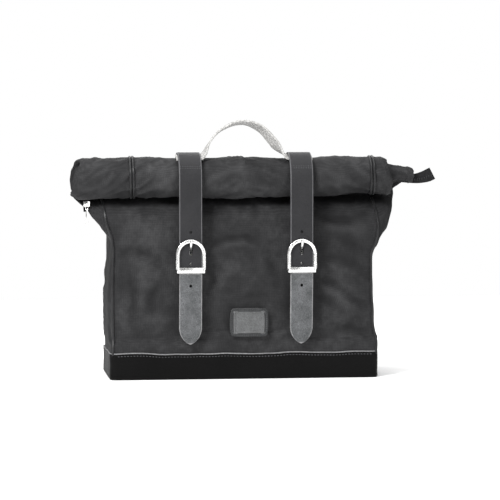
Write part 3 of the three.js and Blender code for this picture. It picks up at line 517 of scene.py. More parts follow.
def bag_ring(z):
    """The plan of the bag at a height, as a function of the side and the share along it."""
    front_y = mix(-PANEL_DEPTH, MOUTH_Y - 5.5, read_off(front_in, z))
    back_y = mix(PANEL_DEPTH, MOUTH_Y + 5.5, drawn_in(z))
    half, middle = (back_y - front_y) / 2, (back_y + front_y) / 2
    left, right = (read_off(front_seam[s], z) for s in (-1, 1))
    back = 184 + 6 * drawn_in(z)

    def point(side, t):
        w = (1 - math.cos(math.pi * t)) / 2
        if side == 0:
            spread = 2 * t - 1
            return mix(left, right, t), middle - half - 6.5 * swell(z) * (1 - spread * spread)
        if side == 1:
            return mix(right, back, w) + gusset_reach(1, z, w), middle - half + 2 * half * w
        if side == 2:
            return mix(back, -back, t), middle + half
        return mix(-back, left, w) - gusset_reach(-1, z, w), middle + half - 2 * half * w

    return lambda side, t: (*point(side, t), z)


# %% [markdown]
# The roll is the same plan, pressed flat and wound inwards as a spiral. Each end has its own outline,
# because no one rolls a bag straight, and the inner turns slip out at the right as a smaller roll.

# %% The plan of the roll
FLAT_HALF, END_ROUND = 4.5, 8
INNER_ROLL = 0.74  # the slipped-out turns' reach, as a share


def roll_ring(turned):
    """The same plan, flat, where the cloth has turned through an angle, in degrees."""
    angle = math.radians(turned)
    reach = ROLL_REACH - ROLL_PITCH * turned / 360
    left, right = read_off(roll_left, turned), read_off(roll_right, turned)

    def point(side, t):
        bulge = END_ROUND * math.sin(math.pi * t)
        x, off = {
            0: (mix(left + END_ROUND, right - END_ROUND, t), -FLAT_HALF),
            1: (right - END_ROUND + bulge, mix(-FLAT_HALF, FLAT_HALF, t)),
            2: (mix(right - END_ROUND, left + END_ROUND, t), FLAT_HALF),
            3: (left + END_ROUND - bulge, mix(FLAT_HALF, -FLAT_HALF, t)),
        }[side]
        out = reach + off
        beyond = min(max((x - 205) / 12, 0), 1) * min(max((turned - 280) / 50, 0), 1)
        out *= mix(1, INNER_ROLL, beyond)
        return x, ROLL_Y + out * math.cos(angle), ROLL_Z + out * math.sin(angle) + 3 * beyond

    return point


# %% [markdown]
# One grid takes all of it: each row is wrapped round one ring. It could be lofted from curves, but
# a grid keeps even squares, which the simulation needs, and remembers which seam each column is.

# %% Wrap a grid round the rings
SIDE_COLUMNS = (76, 22, 76, 22)
columns = [(side, i / n) for side, n in enumerate(SIDE_COLUMNS) for i in range(n)]
SEAMS = ("front_left", "front_right", "back_right", "back_left")  # where each side starts
bag_heights = [30 + 228 * i / 46 for i in range(47)]
roll_angles = [LAST_TURN * i / 61 for i in range(62)]


def between_rings(one, other, share):
    """A ring part of the way from one ring to another."""
    def point(side, t):
        return tuple(mix(a, b, share) for a, b in zip(one(side, t), other(side, t)))
    return point


rings = [bag_ring(z) for z in bag_heights]
rings += [between_rings(rings[-1], roll_ring(0), i / 4) for i in range(1, 4)]
rings += [roll_ring(a) for a in roll_angles]
first_roll_ring = len(bag_heights) + 3

bm = bmesh.new()
bmesh.ops.create_grid(bm, x_segments=len(columns), y_segments=len(rings) - 1, size=0.5)
around = bm.verts.layers.float.new("around")
along = bm.verts.layers.float.new("along")
for vert in bm.verts:
    column = round((vert.co.x + 0.5) * len(columns))
    row = round((vert.co.y + 0.5) * (len(rings) - 1))
    side, t = columns[column % len(columns)]
    vert[around], vert[along] = side + t, row
    vert.co = Vector(rings[row](side, t)) * MM
bmesh.ops.remove_doubles(bm, verts=bm.verts, dist=1e-6)
rims = [e for e in bm.edges if e.is_boundary]
bmesh.ops.holes_fill(bm, edges=rims, sides=0)
caps = [f for f in bm.faces if len(f.verts) > 4]
bmesh.ops.triangulate(bm, faces=caps)
bmesh.ops.recalc_face_normals(bm, faces=bm.faces)
print("bag cloth", len(bm.verts), "points,", len(rings), "rows")

# %% [markdown]
# ## Letting the cloth sag
# The tray holds the cloth at the bottom and the roll holds it at the top, so those rows are pinned.
# Between them the cloth is given a little more length than the shape has, with light pressure from
# inside, and it buckles into its own soft folds. How far it may come out is capped, so that
# it stays behind the straps, the chapes and the label.

# %% Pin the cloth
bag = loose("bag_cloth", bm)
rest_places = [v.co.copy() for v in bag.data.vertices]
held = bag.vertex_groups.new(name="held")
for index, spot in enumerate(bag.data.attributes["along"].data):
    z = rest_places[index].z / MM
    grip = 1.0 if spot.value >= len(bag_heights) - 2 else min(max((62 - z) / 22, 0), 1)
    grip = max(grip, min(max((z - 236) / 18, 0), 1) * 0.8)
    if grip:
        held.add([index], grip, "REPLACE")


print("pinned rows end at", TRAY_TOP, "and", MOUTH, "mm")

# %% [markdown]
# Waxed canvas is heavy and stiff, so it bends in broad folds and not in small wrinkles. The springs along
# the weave are the stiffest, and it is made 3.5 percent too big. 24 frames are enough for it to settle.

# %% Simulate the cloth
def simulate(made, frames):
    cloth = made.modifiers.new("cloth", "CLOTH")
    rules = cloth.settings
    rules.quality = 5
    rules.mass = 0.25
    rules.tension_stiffness = rules.compression_stiffness = 12
    rules.shear_stiffness = 6
    rules.bending_stiffness = 0.6
    rules.vertex_group_mass = "held"
    rules.shrink_min = -0.035
    rules.use_pressure = True
    rules.uniform_pressure_force = 0.35
    rules.effector_weights.gravity = 0.6
    cloth.collision_settings.use_collision = False
    cloth.point_cache.frame_start, cloth.point_cache.frame_end = 1, frames
    for step in range(1, frames + 1):
        scene.frame_set(step)


simulate(bag, 24)
bag_mesh = settled(bag)


# %% [markdown]
# The real cloth is stopped by what lies on it. Here each point may move only so far, and not forward
# behind a chape or the label, nor back against the stiff board.

# %% Cap how far the cloth moved
def forward_room(x, z):
    """How much of its forward movement the front may keep, from 0 behind a fixed part to 1."""
    near_chape = abs(abs(x) - 78) < 26 and 92 < z < 176
    near_label = -32 < x < 42 and 50 < z < 112
    return 0.0 if near_chape or near_label else 1.0


CAP = 6.5 * MM
for vert, rest in zip(bag_mesh.vertices, rest_places):
    moved = vert.co - rest
    moved *= min(1, CAP / max(moved.length, 1e-9))
    if moved.y < 0 and rest.y < -0.03:
        moved.y *= forward_room(rest.x / MM, rest.z / MM)
    if rest.y > 0.05:
        moved.y = min(max(moved.y, -0.4 * MM if rest.z < 0.19 else moved.y), 0)
    if abs(rest.x) > 0.17:
        moved.x = min(max(moved.x, -1.5 * MM), 1.5 * MM)
    vert.co = rest + moved
print("cloth settled, and moved at most", CAP / MM, "mm")

# %% [markdown]
# ## Folds that wear has set
# Some folds are always in the same places: a soft arc in the middle of the front, slanting folds from
# the right buckle to the side, a crease down the left. Each one is a line with a width and a
# depth, pressed into the finer mesh along its normals. The roll gets ridged folds that lean towards the
# straps, because the straps draw the cloth in, and it bulges between them.

# %% A finer mesh, and the lines of the folds
finer = loose("bag_cloth", bag_mesh)
finer.modifiers.new("finer", "SUBSURF").levels = 1
finer.modifiers["finer"].render_levels = 1
bag_mesh = settled(finer)

# each fold: its points as (x, z), its width and its depth, in millimetres; a minus depth stands out
front_folds = [
    ([(-45, 186), (-25, 196), (0, 198), (22, 190)], 5, 1.6),
    ([(-45, 180), (-22, 189), (0, 191), (20, 183)], 6, -1.6),
    ([(-160, 150), (-154, 120), (-158, 92), (-150, 66)], 5, 1.4),
    ([(-148, 168), (-141, 140), (-146, 104)], 8, -1.1),
    ([(-170, 176), (-150, 182), (-128, 172), (-112, 152)], 6, 1.5),
    ([(-120, 132), (-132, 112), (-128, 88)], 6, 1.3),
    ([(104, 140), (128, 132), (152, 112), (172, 100)], 5, 1.7),
    ([(104, 131), (128, 122), (150, 100), (170, 90)], 8, -1.4),
    ([(100, 118), (120, 108), (140, 88)], 6, 1.7),
    ([(108, 170), (135, 168), (160, 158), (178, 142)], 6, 1.6),
    ([(100, 232), (125, 224), (150, 222), (172, 232)], 6, 2.4),
    ([(104, 216), (130, 212), (156, 208), (176, 214)], 8, -1.0),
    ([(130, 198), (150, 190), (172, 176)], 7, 1.6),
    ([(-30, 126), (-5, 118), (30, 116)], 6, 1.1),
    ([(-52, 160), (-44, 140), (-50, 122)], 5, 1.2),
    ([(34, 176), (40, 158), (50, 140)], 6, 1.2),
    ([(-100, 76), (-76, 60), (-50, 56)], 6, 1.0),
    ([(120, 62), (150, 70), (176, 62)], 6, 1.4),
]


print("folds", len(front_folds))


# %% [markdown]
# A fold is deepest in its middle and fades to its ends, with a rounded section. Crumples are sharp
# crested, so they come from noise turned upside down.

# %% Shapes of folds and crumples
def away_from(line, x, z):
    """The distance from a point to a line of points, and the share of the line that it is beside."""
    best, total = (1e9, 0), len(line) - 1
    for k, ((ax, az), (bx, bz)) in enumerate(zip(line, line[1:])):
        dx, dz = bx - ax, bz - az
        t = min(max(((x - ax) * dx + (z - az) * dz) / (dx * dx + dz * dz), 0), 1)
        best = min(best, (math.hypot(x - ax - t * dx, z - az - t * dz), (k + t) / total))
    return best


def pressed(folds, x, z):
    """How far the folds move the cloth at a place, in millimetres outwards."""
    out = 0.0
    for line, width, depth in folds:
        away, share = away_from(line, x, z)
        if away < 3 * width:
            out -= depth * math.exp(-(away / width) ** 2) * math.sin(math.pi * mix(0.12, 0.88, share))
    return out


def ridge(x, y, size, seed):
    """Sharp-crested noise from 0 to 1, the shape of crumpled cloth."""
    return 1 - min(1, 2.2 * abs(noise.noise(Vector((x / size, y / size, seed)))))


# %% [markdown]
# The straps draw the roll in, and its folds lean towards them. It is thinner where the right end slips
# out, and it lies flat under the handle's ends.

# %% Folds of the roll
STRAP_X = 78


def roll_fold(x, turned):
    """How far the roll's cloth stands out at a place along it, in millimetres."""
    gap = abs(abs(x) - STRAP_X)
    under_strap = math.exp(-(gap / 22) ** 2)
    lean = 0.55 if x < 0 else -0.55
    slant = x + lean * (turned - 150)
    crumple = ridge(slant, turned * 0.5, 26, 3.1) - 0.5
    slow = noise.noise(Vector((x / 48, turned / 130, 7.7)))
    crumple += 0.45 * (ridge(slant, turned * 0.4, 12, 6.3) - 0.5)
    handle_bed = math.exp(-((abs(x) - 68) / 42) ** 6 - ((turned - 105) / 52) ** 6)
    out = (1 - under_strap) * (2.6 * crumple + 2.6 * slow + 1.6 * math.exp(-(x / 36) ** 4))
    thinner = 5.5 * min(max((x - 96) / 70, 0), 1) * max(0, math.sin(math.radians(turned - 190)))
    out -= 1.2 * under_strap + thinner
    return mix(out, min(out, -0.4), handle_bed)


# %% [markdown]
# Every point moves along its normal, by the rule for the part of the bag that it is on. The same move says
# how pale or dark it is: crests are scuffed pale and hollows are darker, and the front just under the roll
# is darkest, which is painted shade for the roll's shadow.

# %% Press the folds in
normals = [v.normal.copy() for v in bag_mesh.vertices]
wear_and_painted_shade = bag_mesh.attributes.new("wear_and_painted_shade", "FLOAT", "POINT")
turn_step = roll_angles[1]
RIM_Z, RIM_FADE = 38, 20  # the tray holds the cloth flat, and lets go over this height
PAINTED_SHADE_Z, PAINTED_SHADE_HALF = 254, 9  # the band in the roll's shadow, darkened as painted shade
for vert, normal, side, row in zip(bag_mesh.vertices, normals, bag_mesh.attributes["around"].data,
                                   bag_mesh.attributes["along"].data):
    x, y, z = vert.co / MM
    free = min(1, (z - RIM_Z) / RIM_FADE)
    turned = (row.value - first_roll_ring) * turn_step
    if turned > -30:
        outer = 1.0 if 2 <= side.value <= 3 else 0.45
        push = outer * roll_fold(x, max(turned, 0)) * min(1, (turned + 30) / 40)
    elif y < -20 and z > RIM_Z:
        push = 1.7 * pressed(front_folds, x, z)
        if push > 0:
            push *= forward_room(x, z)
        push += 1.1 * (ridge(x, z, 34, 1.3) - 0.75) * free
    elif z > RIM_Z and y > 60:
        push = (-0.5 if z < 190 else -1.5) * ridge(x, z, 40, 5.0) * free
    elif z > RIM_Z:
        push = 2.0 * (ridge(y, z, 30, 9.0 if x < 0 else 2.0) - 0.7) * free
    else:
        push = 0.0
    vert.co += normal * push * MM
    scuff_and_painted_shade = push * (0.2 if turned > -30 else 0.3)
    # Painted shade: the front just under the roll is darkened to stand for the roll's shadow.
    if y < -20 and turned <= -30:
        scuff_and_painted_shade -= 1.2 * math.exp(-((z - PAINTED_SHADE_Z) / PAINTED_SHADE_HALF) ** 2)
    wear_and_painted_shade.data[vert.index].value = min(max(scuff_and_painted_shade, -1), 1)
print("folds pressed in")

# %% [markdown]
# The piping will follow the seams as the cloth has settled, so their points are kept. Then the cloth
# becomes one piece, which stands for all the CAD model's panels.

# %% Keep the seams and make the piece
seam_lines = {name: [] for name in SEAMS}
for vert, side, row in zip(bag_mesh.vertices, bag_mesh.attributes["around"].data,
                           bag_mesh.attributes["along"].data):
    for number, name in enumerate(SEAMS):
        if abs(side.value - number) < 1e-4 and abs(row.value - round(row.value)) < 1e-3:
            seam_lines[name].append((round(row.value), vert.co.copy()))
for line in seam_lines.values():
    line.sort(key=lambda item: item[0])
bag_piece = piece("bag_cloth", bag_mesh, waxed_canvas, "root",
                  ("front_panel", "back_panel", "left_gusset", "right_gusset", "rolled_mouth", "mouth_hem"),
                  sharp=70)
print("bag cloth", len(bag_piece.data.polygons), "faces")


# %% [markdown]
# ## Piping
# A thin cord wrapped in leather is sewn into each seam, so that the edge wears and not the cloth. It
# is a round bar along the seam's own points. Two more rings of it show on the roll, where the
# same seams have been rolled in.

# %% Bars and joined meshes
def bar_along(points, radius, sides=8, closed=False):
    """A round bar along smooth points, as a mesh. radius is one number, or one for each point."""
    curve = bpy.data.curves.new("bar", "CURVE")
    curve.dimensions = "3D"
    curve.bevel_depth = 1.0
    curve.bevel_resolution = max(1, sides // 2 - 2)
    curve.use_fill_caps = not closed
    spline = curve.splines.new("POLY")
    spline.points.add(len(points) - 1)
    spline.use_cyclic_u = closed
    for k, point in enumerate(points):
        spline.points[k].co = (*point, 1)
        spline.points[k].radius = radius[k] if isinstance(radius, (list, tuple)) else radius
    made = bpy.data.objects.new("bar", curve)
    scene.collection.objects.link(made)
    mesh = settled(made)
    bm = bmesh.new()
    bm.from_mesh(mesh)
    bpy.data.meshes.remove(mesh)
    bmesh.ops.remove_doubles(bm, verts=bm.verts, dist=1e-6)
    bmesh.ops.recalc_face_normals(bm, faces=bm.faces)
    return bm


def joined(*shapes):
    """Several bmeshes as one."""
    whole = shapes[0]
    for shape in shapes[1:]:
        mesh = bpy.data.meshes.new("part")
        shape.to_mesh(mesh)
        shape.free()
        whole.from_mesh(mesh)
        bpy.data.meshes.remove(mesh)
    return whole


def smoothed(points, rounds=2):
    """The same points, each drawn towards its neighbours."""
    for _ in range(rounds):
        points = [points[0]] + [(a + 2 * b + c) / 4 for a, b, c in
                                zip(points, points[1:], points[2:])] + [points[-1]]
    return points


# %% [markdown]
# Four lengths of piping run up the corners of the bag, a little proud of the cloth. They follow the seams
# as they have settled, so no gap opens between the piping and the cloth.

# %% Piping up the corners
for name, (outwards_x, outwards_y) in {"front_left": (-0.6, -0.8), "front_right": (0.6, -0.8),
                                       "back_left": (-0.6, 0.5), "back_right": (0.6, 0.5)}.items():
    line = [p + Vector((outwards_x, outwards_y, 0)) * 0.8 * MM for row, p in seam_lines[name]
            if row <= len(bag_heights) - 2 and p.z > 0.033]
    node = name.replace("_", "_piping_")
    piece(node, bar_along(smoothed(line), 2.1 * MM), piping_leather, "root", (node,))
print("corner piping made")


# %% [markdown]
# Where the seams go round the roll, the front and the back piping show side by side. They lie on the
# roll's own folds, which is why each is worked out from the same rule as the cloth.

# %% Piping round the roll
def roll_surface(x, turned, lift=0.0):
    """A point on the roll's outer face, in metres."""
    angle = math.radians(turned)
    out = ROLL_REACH - ROLL_PITCH * turned / 360 + FLAT_HALF + roll_fold(x, turned) + lift
    return Vector((x, ROLL_Y + out * math.cos(angle), ROLL_Z + out * math.sin(angle))) * MM


for name, x, bow in (("roll_piping_left", -155, -4), ("roll_piping_right", 183, -3)):
    rings_of = []
    for offset in (-1.9, 2.2):
        line = [roll_surface(x + offset + bow * math.sin(math.radians(a * 0.6)), a, 1.0)
                for a in range(4, 292, 8)]
        rings_of.append(bar_along(smoothed(line), 1.9 * MM))
    piece(name, joined(*rings_of), piping_leather, "root", (name,))
print("piping made")
# %% [markdown]
# ## The leather tray
# One hide is folded up round the bottom of the bag and stitched to the canvas. It is made from a
# box with its top taken off: its corners are rounded, its wall gets a thickness, and its
# upper rim is cut a little wavy by hand. The cut rim shows the hide's pale fibres.

# %% Blocks with rounded edges
def block(bm, low, high, bevel=0.0, segments=2):
    """Adds a box with rounded edges to a bmesh, from two corners in millimetres."""
    made = bmesh.ops.create_cube(bm, size=1.0)["verts"]
    size = [(b - a) * MM for a, b in zip(low, high)]
    middle = [(a + b) / 2 * MM for a, b in zip(low, high)]
    bmesh.ops.scale(bm, vec=size, verts=made)
    bmesh.ops.translate(bm, vec=middle, verts=made)
    if bevel:
        edges = list({e for v in made for e in v.link_edges})
        bmesh.ops.bevel(bm, geom=edges, offset=bevel * MM, affect="EDGES", segments=segments,
                        profile=0.5, material=-1, clamp_overlap=True)


# %% [markdown]
# The rim wanders by a millimetre or two, and the wall dents softly between the seams. The sheet is sliced
# into small squares before it is bent, and made thick last, so that both of its skins stay even.

# %% Make the tray
def rim_height(x, y):
    """How far the tray's upper rim wanders from level, in millimetres."""
    return 2.4 * noise.noise(Vector((x / 62, y / 62, 4.2))) + 1.0 * noise.noise(Vector((x / 21, y / 21, 8.8)))


bm = bmesh.new()
block(bm, (-190, -75, 0), (190, 75, 40))
upright = [e for e in bm.edges if abs(e.verts[0].co.z - e.verts[1].co.z) > 0.01]
bmesh.ops.bevel(bm, geom=upright, offset=10 * MM, affect="EDGES", segments=5, profile=0.5, material=-1)
bottom = [e for e in bm.edges if all(v.co.z < 1e-6 for v in e.verts)]
bmesh.ops.bevel(bm, geom=bottom, offset=2.5 * MM, affect="EDGES", segments=3, profile=0.5, material=-1)
top = [f for f in bm.faces if all(v.co.z > 0.0399 for v in f.verts)]
bmesh.ops.delete(bm, geom=top, context="FACES_ONLY")
for place, normal in [((0, 0, z * MM), (0, 0, 1)) for z in (8, 15, 22, 29, 35, 38.5)] + \
        [((x * MM, 0, 0), (1, 0, 0)) for x in range(-176, 180, 8)] + \
        [((0, y * MM, 0), (0, 1, 0)) for y in range(-60, 61, 8)]:
    bmesh.ops.bisect_plane(bm, geom=bm.verts[:] + bm.edges[:] + bm.faces[:], plane_co=place, plane_no=normal)
for face in bm.faces:
    face.material_index = 1 if min(v.co.z for v in face.verts) > 0.0384 else 0
for vert in bm.verts:
    x, y, z = vert.co / MM
    if z > 5:
        vert.co.z += (rim_height(x, y) - 2.5) * MM * ((z - 5) / 35)
        push = 1.0 * (noise.noise(Vector((x / 55, z / 16, y / 55))) - 0.3) * math.sin(math.pi * z / 42)
        vert.co += Vector((x / 190, y / 75, 0)).normalized() * min(push, 0.2) * MM
bmesh.ops.recalc_face_normals(bm, faces=bm.faces)
outer_wall = bm.faces[:]
bmesh.ops.solidify(bm, geom=outer_wall, thickness=2.2 * MM)
for face in bm.faces:
    if face.normal.z > 0.8 and min(v.co.z for v in face.verts) > 0.030:
        face.material_index = 1
print("tray faces with a raw edge", sum(face.material_index for face in bm.faces))
piece("leather_tray", bm, (base_leather, cut_edge), "root", ("leather_base",), sharp=50)


# %% [markdown]
# ## Stitching
# Thread shows as a row of short slanted grains. Each is a tiny stretched ball, laid along its seam, and
# all of a seam's stitches are one mesh.

# %% Stitches
def stitch_row(points, normal_at, pitch=4.0, length=2.8, thick=0.45):
    """A bmesh of stitches along a line of points in millimetres."""
    bm = bmesh.new()
    carried = 0.0
    for a, b in zip(points, points[1:]):
        a, b = Vector(a), Vector(b)
        run = (b - a).length
        while carried < run:
            place = a.lerp(b, carried / run)
            normal = Vector(normal_at(place)).normalized()
            ahead = (b - a).normalized()
            side = normal.cross(ahead).normalized()
            turn = Matrix((ahead, side, normal)).transposed().to_4x4()
            grains = bmesh.ops.create_uvsphere(bm, u_segments=6, v_segments=4, radius=0.5)["verts"]
            bmesh.ops.scale(bm, vec=(length * MM, thick * 2 * MM, thick * 1.4 * MM), verts=grains)
            laid = Matrix.Translation((place + normal * 0.1) * MM) @ turn
            bmesh.ops.transform(bm, matrix=laid, verts=grains)
            carried += pitch
        carried -= run
    return bm


def tray_line(below):
    """The line round the tray's outside, a little below its rim, in millimetres."""
    corners = [(-190, -65), (-187, -72), (-180, -75), (180, -75), (187, -72), (190, -65), (190, 65),
               (187, 72), (180, 75), (-180, 75), (-187, 72), (-190, 65), (-190, -65)]
    line = []
    for (ax, ay), (bx, by) in zip(corners, corners[1:]):
        steps = max(1, round(math.hypot(bx - ax, by - ay) / 6))
        for k in range(steps):
            x, y = mix(ax, bx, k / steps), mix(ay, by, k / steps)
            line.append((x, y, 37.5 + rim_height(x, y) - below))
    return line + [line[0]]


def tray_normal(place):
    """Which way the tray's wall faces beside a place."""
    return (place.x / 190, place.y / 75 * 2, 0) if abs(place.x) > 180 else (0, place.y, 0)


piece("tray_stitching", stitch_row(tray_line(4.5), tray_normal, 4.4), thread, "root")
print("tray stitched")

# %% [markdown]
# ## Straps
# A strap is a band of even width and thickness along a path, with its edges eased. The same helper
# makes the upper straps, the tails, the chapes, the handle and the zip's tapes: a grid is bent
# along the path, given a thickness, and its rim bevelled, and the rim's faces take the cut edge's finish.

# %% Bands
def band(path, width, thick, across=(1, 0, 0), ease=0.7, outline=None, lanes=6, turn=None):
    """path is points in millimetres. outline(share along) gives the half width there, as a share.
    turn(share) swings the band's width about its path, in degrees."""
    bm = bmesh.new()
    points = [Vector(p) for p in path]
    lengths = [0.0]
    for a, b in zip(points, points[1:]):
        lengths.append(lengths[-1] + (b - a).length)
    bmesh.ops.create_grid(bm, x_segments=lanes, y_segments=len(points) - 1, size=0.5)
    for vert in bm.verts:
        k = round((vert.co.y + 0.5) * (len(points) - 1))
        share = lengths[k] / lengths[-1]
        ahead = (points[min(k + 1, len(points) - 1)] - points[max(k - 1, 0)]).normalized()
        sideways = Vector(across(share) if callable(across) else across)
        sideways = (sideways - ahead * sideways.dot(ahead)).normalized()
        if turn:
            sideways = Matrix.Rotation(math.radians(turn(share)), 3, ahead) @ sideways
        half = width * (outline(share) if outline else 1.0)
        lane = round((vert.co.x + 0.5) * lanes)
        spot = {1: 1.4 / width - 0.5, lanes - 1: 0.5 - 1.4 / width}.get(lane, vert.co.x)
        vert.co = (points[k] + sideways * spot * half) * MM
    bmesh.ops.remove_doubles(bm, verts=bm.verts, dist=1e-6)
    bmesh.ops.recalc_face_normals(bm, faces=bm.faces)
    for vert in bm.verts:
        vert.co -= vert.normal * thick / 2 * MM
    bm.normal_update()
    faces = bm.faces[:]
    bmesh.ops.solidify(bm, geom=faces, thickness=-thick * MM)
    bmesh.ops.recalc_face_normals(bm, faces=bm.faces)
    sharp_edges = [e for e in bm.edges if len(e.link_faces) == 2 and e.calc_face_angle(0) > 1.0]
    rim = {f for e in sharp_edges for f in e.link_faces}
    for face in rim:
        face.material_index = 1
    bmesh.ops.bevel(bm, geom=sharp_edges, offset=ease * MM, affect="EDGES", segments=2, profile=0.5,
                    material=1)
    return bm


# %% [markdown]
# Holes are punched when the strap is finished, so they are cut last. A dark disc would look the same
# from the front, but a cut hole shows its wall when the strap turns. The long one is the tongue's slot.

# %% Punched holes
def drilled(bm, holes):
    """The same mesh with round holes through it along Y. Each hole is (x, z, radius, stretch)."""
    made = loose("drilled", bm)
    cutters = bmesh.new()
    for x, z, radius, stretch in holes:
        verts = bmesh.ops.create_cone(cutters, cap_ends=True, segments=16, radius1=radius * MM,
                                      radius2=radius * MM, depth=0.06)["verts"]
        bmesh.ops.scale(cutters, vec=(1, stretch, 1), verts=verts)
        bmesh.ops.rotate(cutters, cent=(0, 0, 0), matrix=Matrix.Rotation(math.pi / 2, 3, "X"), verts=verts)
        bmesh.ops.translate(cutters, vec=(x * MM, -0.09, z * MM), verts=verts)
    tool = loose("cutter", cutters)
    cut = made.modifiers.new("cut", "BOOLEAN")
    cut.operation, cut.object, cut.solver = "DIFFERENCE", tool, "EXACT"
    mesh = settled(made)
    bpy.data.objects.remove(tool)
    return mesh


# %% [markdown]
# Each upper strap is riveted low on the back, goes over the roll and down the front into its buckle.

# %% Upper straps
STRAP_WIDTH, STRAP_THICK, SIDES = 32, 3, (("left", -STRAP_X), ("right", STRAP_X))
STRAP_Y, STRAP_REACH, BACK_Y = -89.914, 36.29, 74
SMALL_HOLE = 2.1


def strap_path():
    """The strap's line as (y, z): up the back, over the roll and down the front."""
    path = [(BACK_Y, z) for z in range(158, 197, 6)]
    for turned in range(45, 181, 5):
        angle = math.radians(turned)
        path.append((ROLL_Y + STRAP_REACH * math.cos(angle), ROLL_Z + STRAP_REACH * math.sin(angle)))
    slope = [(mix(BACK_Y, path[7][0], k / 14), mix(194, path[7][1], k / 14)) for k in range(1, 14)]
    return path[:7] + slope + path[7:] + [(STRAP_Y, z) for z in range(276, 151, -4)] + [(STRAP_Y, 151.8)]


for side, x in SIDES:
    upper = band([(x, y, z) for y, z in strap_path()], STRAP_WIDTH, STRAP_THICK)
    upper = drilled(upper, [(x, 207.3, SMALL_HOLE, 1), (x, 163.1, SMALL_HOLE, 1), (x, 181.9, 2.6, 2.8)])
    piece(f"{side}_strap", upper, (strap_leather, strap_edge), sharp=35,
          stands_for=(f"{side}_strap_upper", f"{side}_strap_middle"),
          between=("root", f"{side}_buckle", (x * MM, -0.09, 0.252), (x * MM, -0.09, 0.206)))
print("upper straps made")

# %% [markdown]
# The tails are the straps' free ends, below the buckles. Each bends a little off the bag and ends in a
# blunt point, whose sides are two arcs. They are pieces of their own, because they lift when the strap is
# undone, and their paler colour, a painted highlight for the light that they catch as they tilt out,
# starts under the buckle.

# %% Tails
def tip_outline(share):
    """A strap end's outline: parallel, then two arcs that meet in a blunt point."""
    left = (1 - share) * 99 / 23
    return 1.0 if left >= 1 else max(0.03, (1 - (1 - left) ** 1.9) ** 0.68)


for side, x in SIDES:
    path = [(x, STRAP_Y + 5.8 * (k / 40) ** 1.4, mix(150.6, 50, k / 40)) for k in range(41)]
    tail = band(path, STRAP_WIDTH, STRAP_THICK, outline=tip_outline)
    piece(f"{side}_tail", drilled(tail, [(x, 132.4, SMALL_HOLE, 1)]), (tail_leather_painted_light, cut_edge),
          f"{side}_tail", (f"{side}_strap_tail",))
print("tails made")

# %% [markdown]
# A chape is a short length of thinner strap, folded round the buckle's bar and riveted to the bag. It is
# one band along a loop, as on the bag, not two plates with a tube between them.

# %% Chapes
BAR_Y, BAR_Z, FOLD_RADIUS = -83.814, 154.0, 3.3
for side, x in SIDES:
    loop = [(-80.2, z) for z in range(108, 151, 7)]
    for turned in range(0, 181, 20):
        angle = math.radians(turned)
        loop.append((BAR_Y + FOLD_RADIUS * math.cos(angle), BAR_Z + FOLD_RADIUS * math.sin(angle)))
    loop += [(-83.6, 140), (-82.6, 128), (-82.6, 118), (-82.6, 108)]
    chape = band([(x, y, z) for y, z in loop], 30, 1.8, ease=0.4)
    piece(f"{side}_chape", chape, (strap_leather, strap_edge), "root", (f"{side}_chape",))
print("chapes made")

# %% [markdown]
# Two rows of stitches cross each strap at the front of the roll, where it is sewn to the handle's strip,
# and one more row crosses it on the back.

# %% Strap stitching
def off_the_roll(place):
    """Which way the roll faces beside a place."""
    return (0, place.y - ROLL_Y, place.z - ROLL_Z)


def off_the_back(_):
    return (0, 1, 0)


for side, x in SIDES:
    rows = []
    for turned in (150, 154.5):
        angle = math.radians(turned)
        y, z = (ROLL_Y + 37.9 * math.cos(angle), ROLL_Z + 37.9 * math.sin(angle))
        rows.append(stitch_row([(x - 14, y, z), (x + 14, y, z)], off_the_roll, 3.4, 2.4))
    rows.append(stitch_row([(x - 14, 75.6, 176), (x + 14, 75.6, 176)], off_the_back, 3.4, 2.4))
    piece(f"{side}_strap_stitching", joined(*rows), thread, "root")
print("straps stitched")

# %% [markdown]
# ## Buckles
# The frame is a cast horseshoe under nickel plate. Its limb has a rounded section, so it is made by
# spinning that section round the arch: the section climbs one side, turns half a circle and goes down
# the other. The keeper crosses in front of the strap at its foot, and the tongue lies through the hole.

# %% Make the buckles
def horseshoe(x, low, turn_z, radius, limb, thick, y):
    """A rounded section run up, round and down, in millimetres."""
    bm = bmesh.new()
    start = bmesh.ops.create_grid(bm, x_segments=1, y_segments=1, size=0.5)["verts"]
    bmesh.ops.scale(bm, vec=(limb * MM, thick * MM, 1), verts=start)
    bmesh.ops.bevel(bm, geom=bm.verts[:], offset=1.5 * MM, affect="VERTICES", segments=3, profile=0.5,
                    material=-1)
    bmesh.ops.translate(bm, vec=((x - radius) * MM, y * MM, low * MM), verts=bm.verts)

    def climb(faces, lift):
        moved = bmesh.ops.extrude_face_region(bm, geom=faces)["geom"]
        verts = [g for g in moved if isinstance(g, bmesh.types.BMVert)]
        bmesh.ops.translate(bm, vec=(0, 0, lift * MM), verts=verts)
        return [g for g in moved if isinstance(g, bmesh.types.BMFace)]

    end = climb(bm.faces[:], turn_z - low)
    spun = bmesh.ops.spin(bm, geom=end + list({e for f in end for e in f.edges}) +
                          list({v for f in end for v in f.verts}), cent=(x * MM, y * MM, turn_z * MM),
                          axis=(0, 1, 0), angle=math.pi, steps=24, use_merge=False)
    last = [g for g in spun["geom_last"] if isinstance(g, bmesh.types.BMFace)]
    climb(last, low - turn_z)
    bmesh.ops.remove_doubles(bm, verts=bm.verts, dist=1e-6)
    bmesh.ops.recalc_face_normals(bm, faces=bm.faces)
    return bm


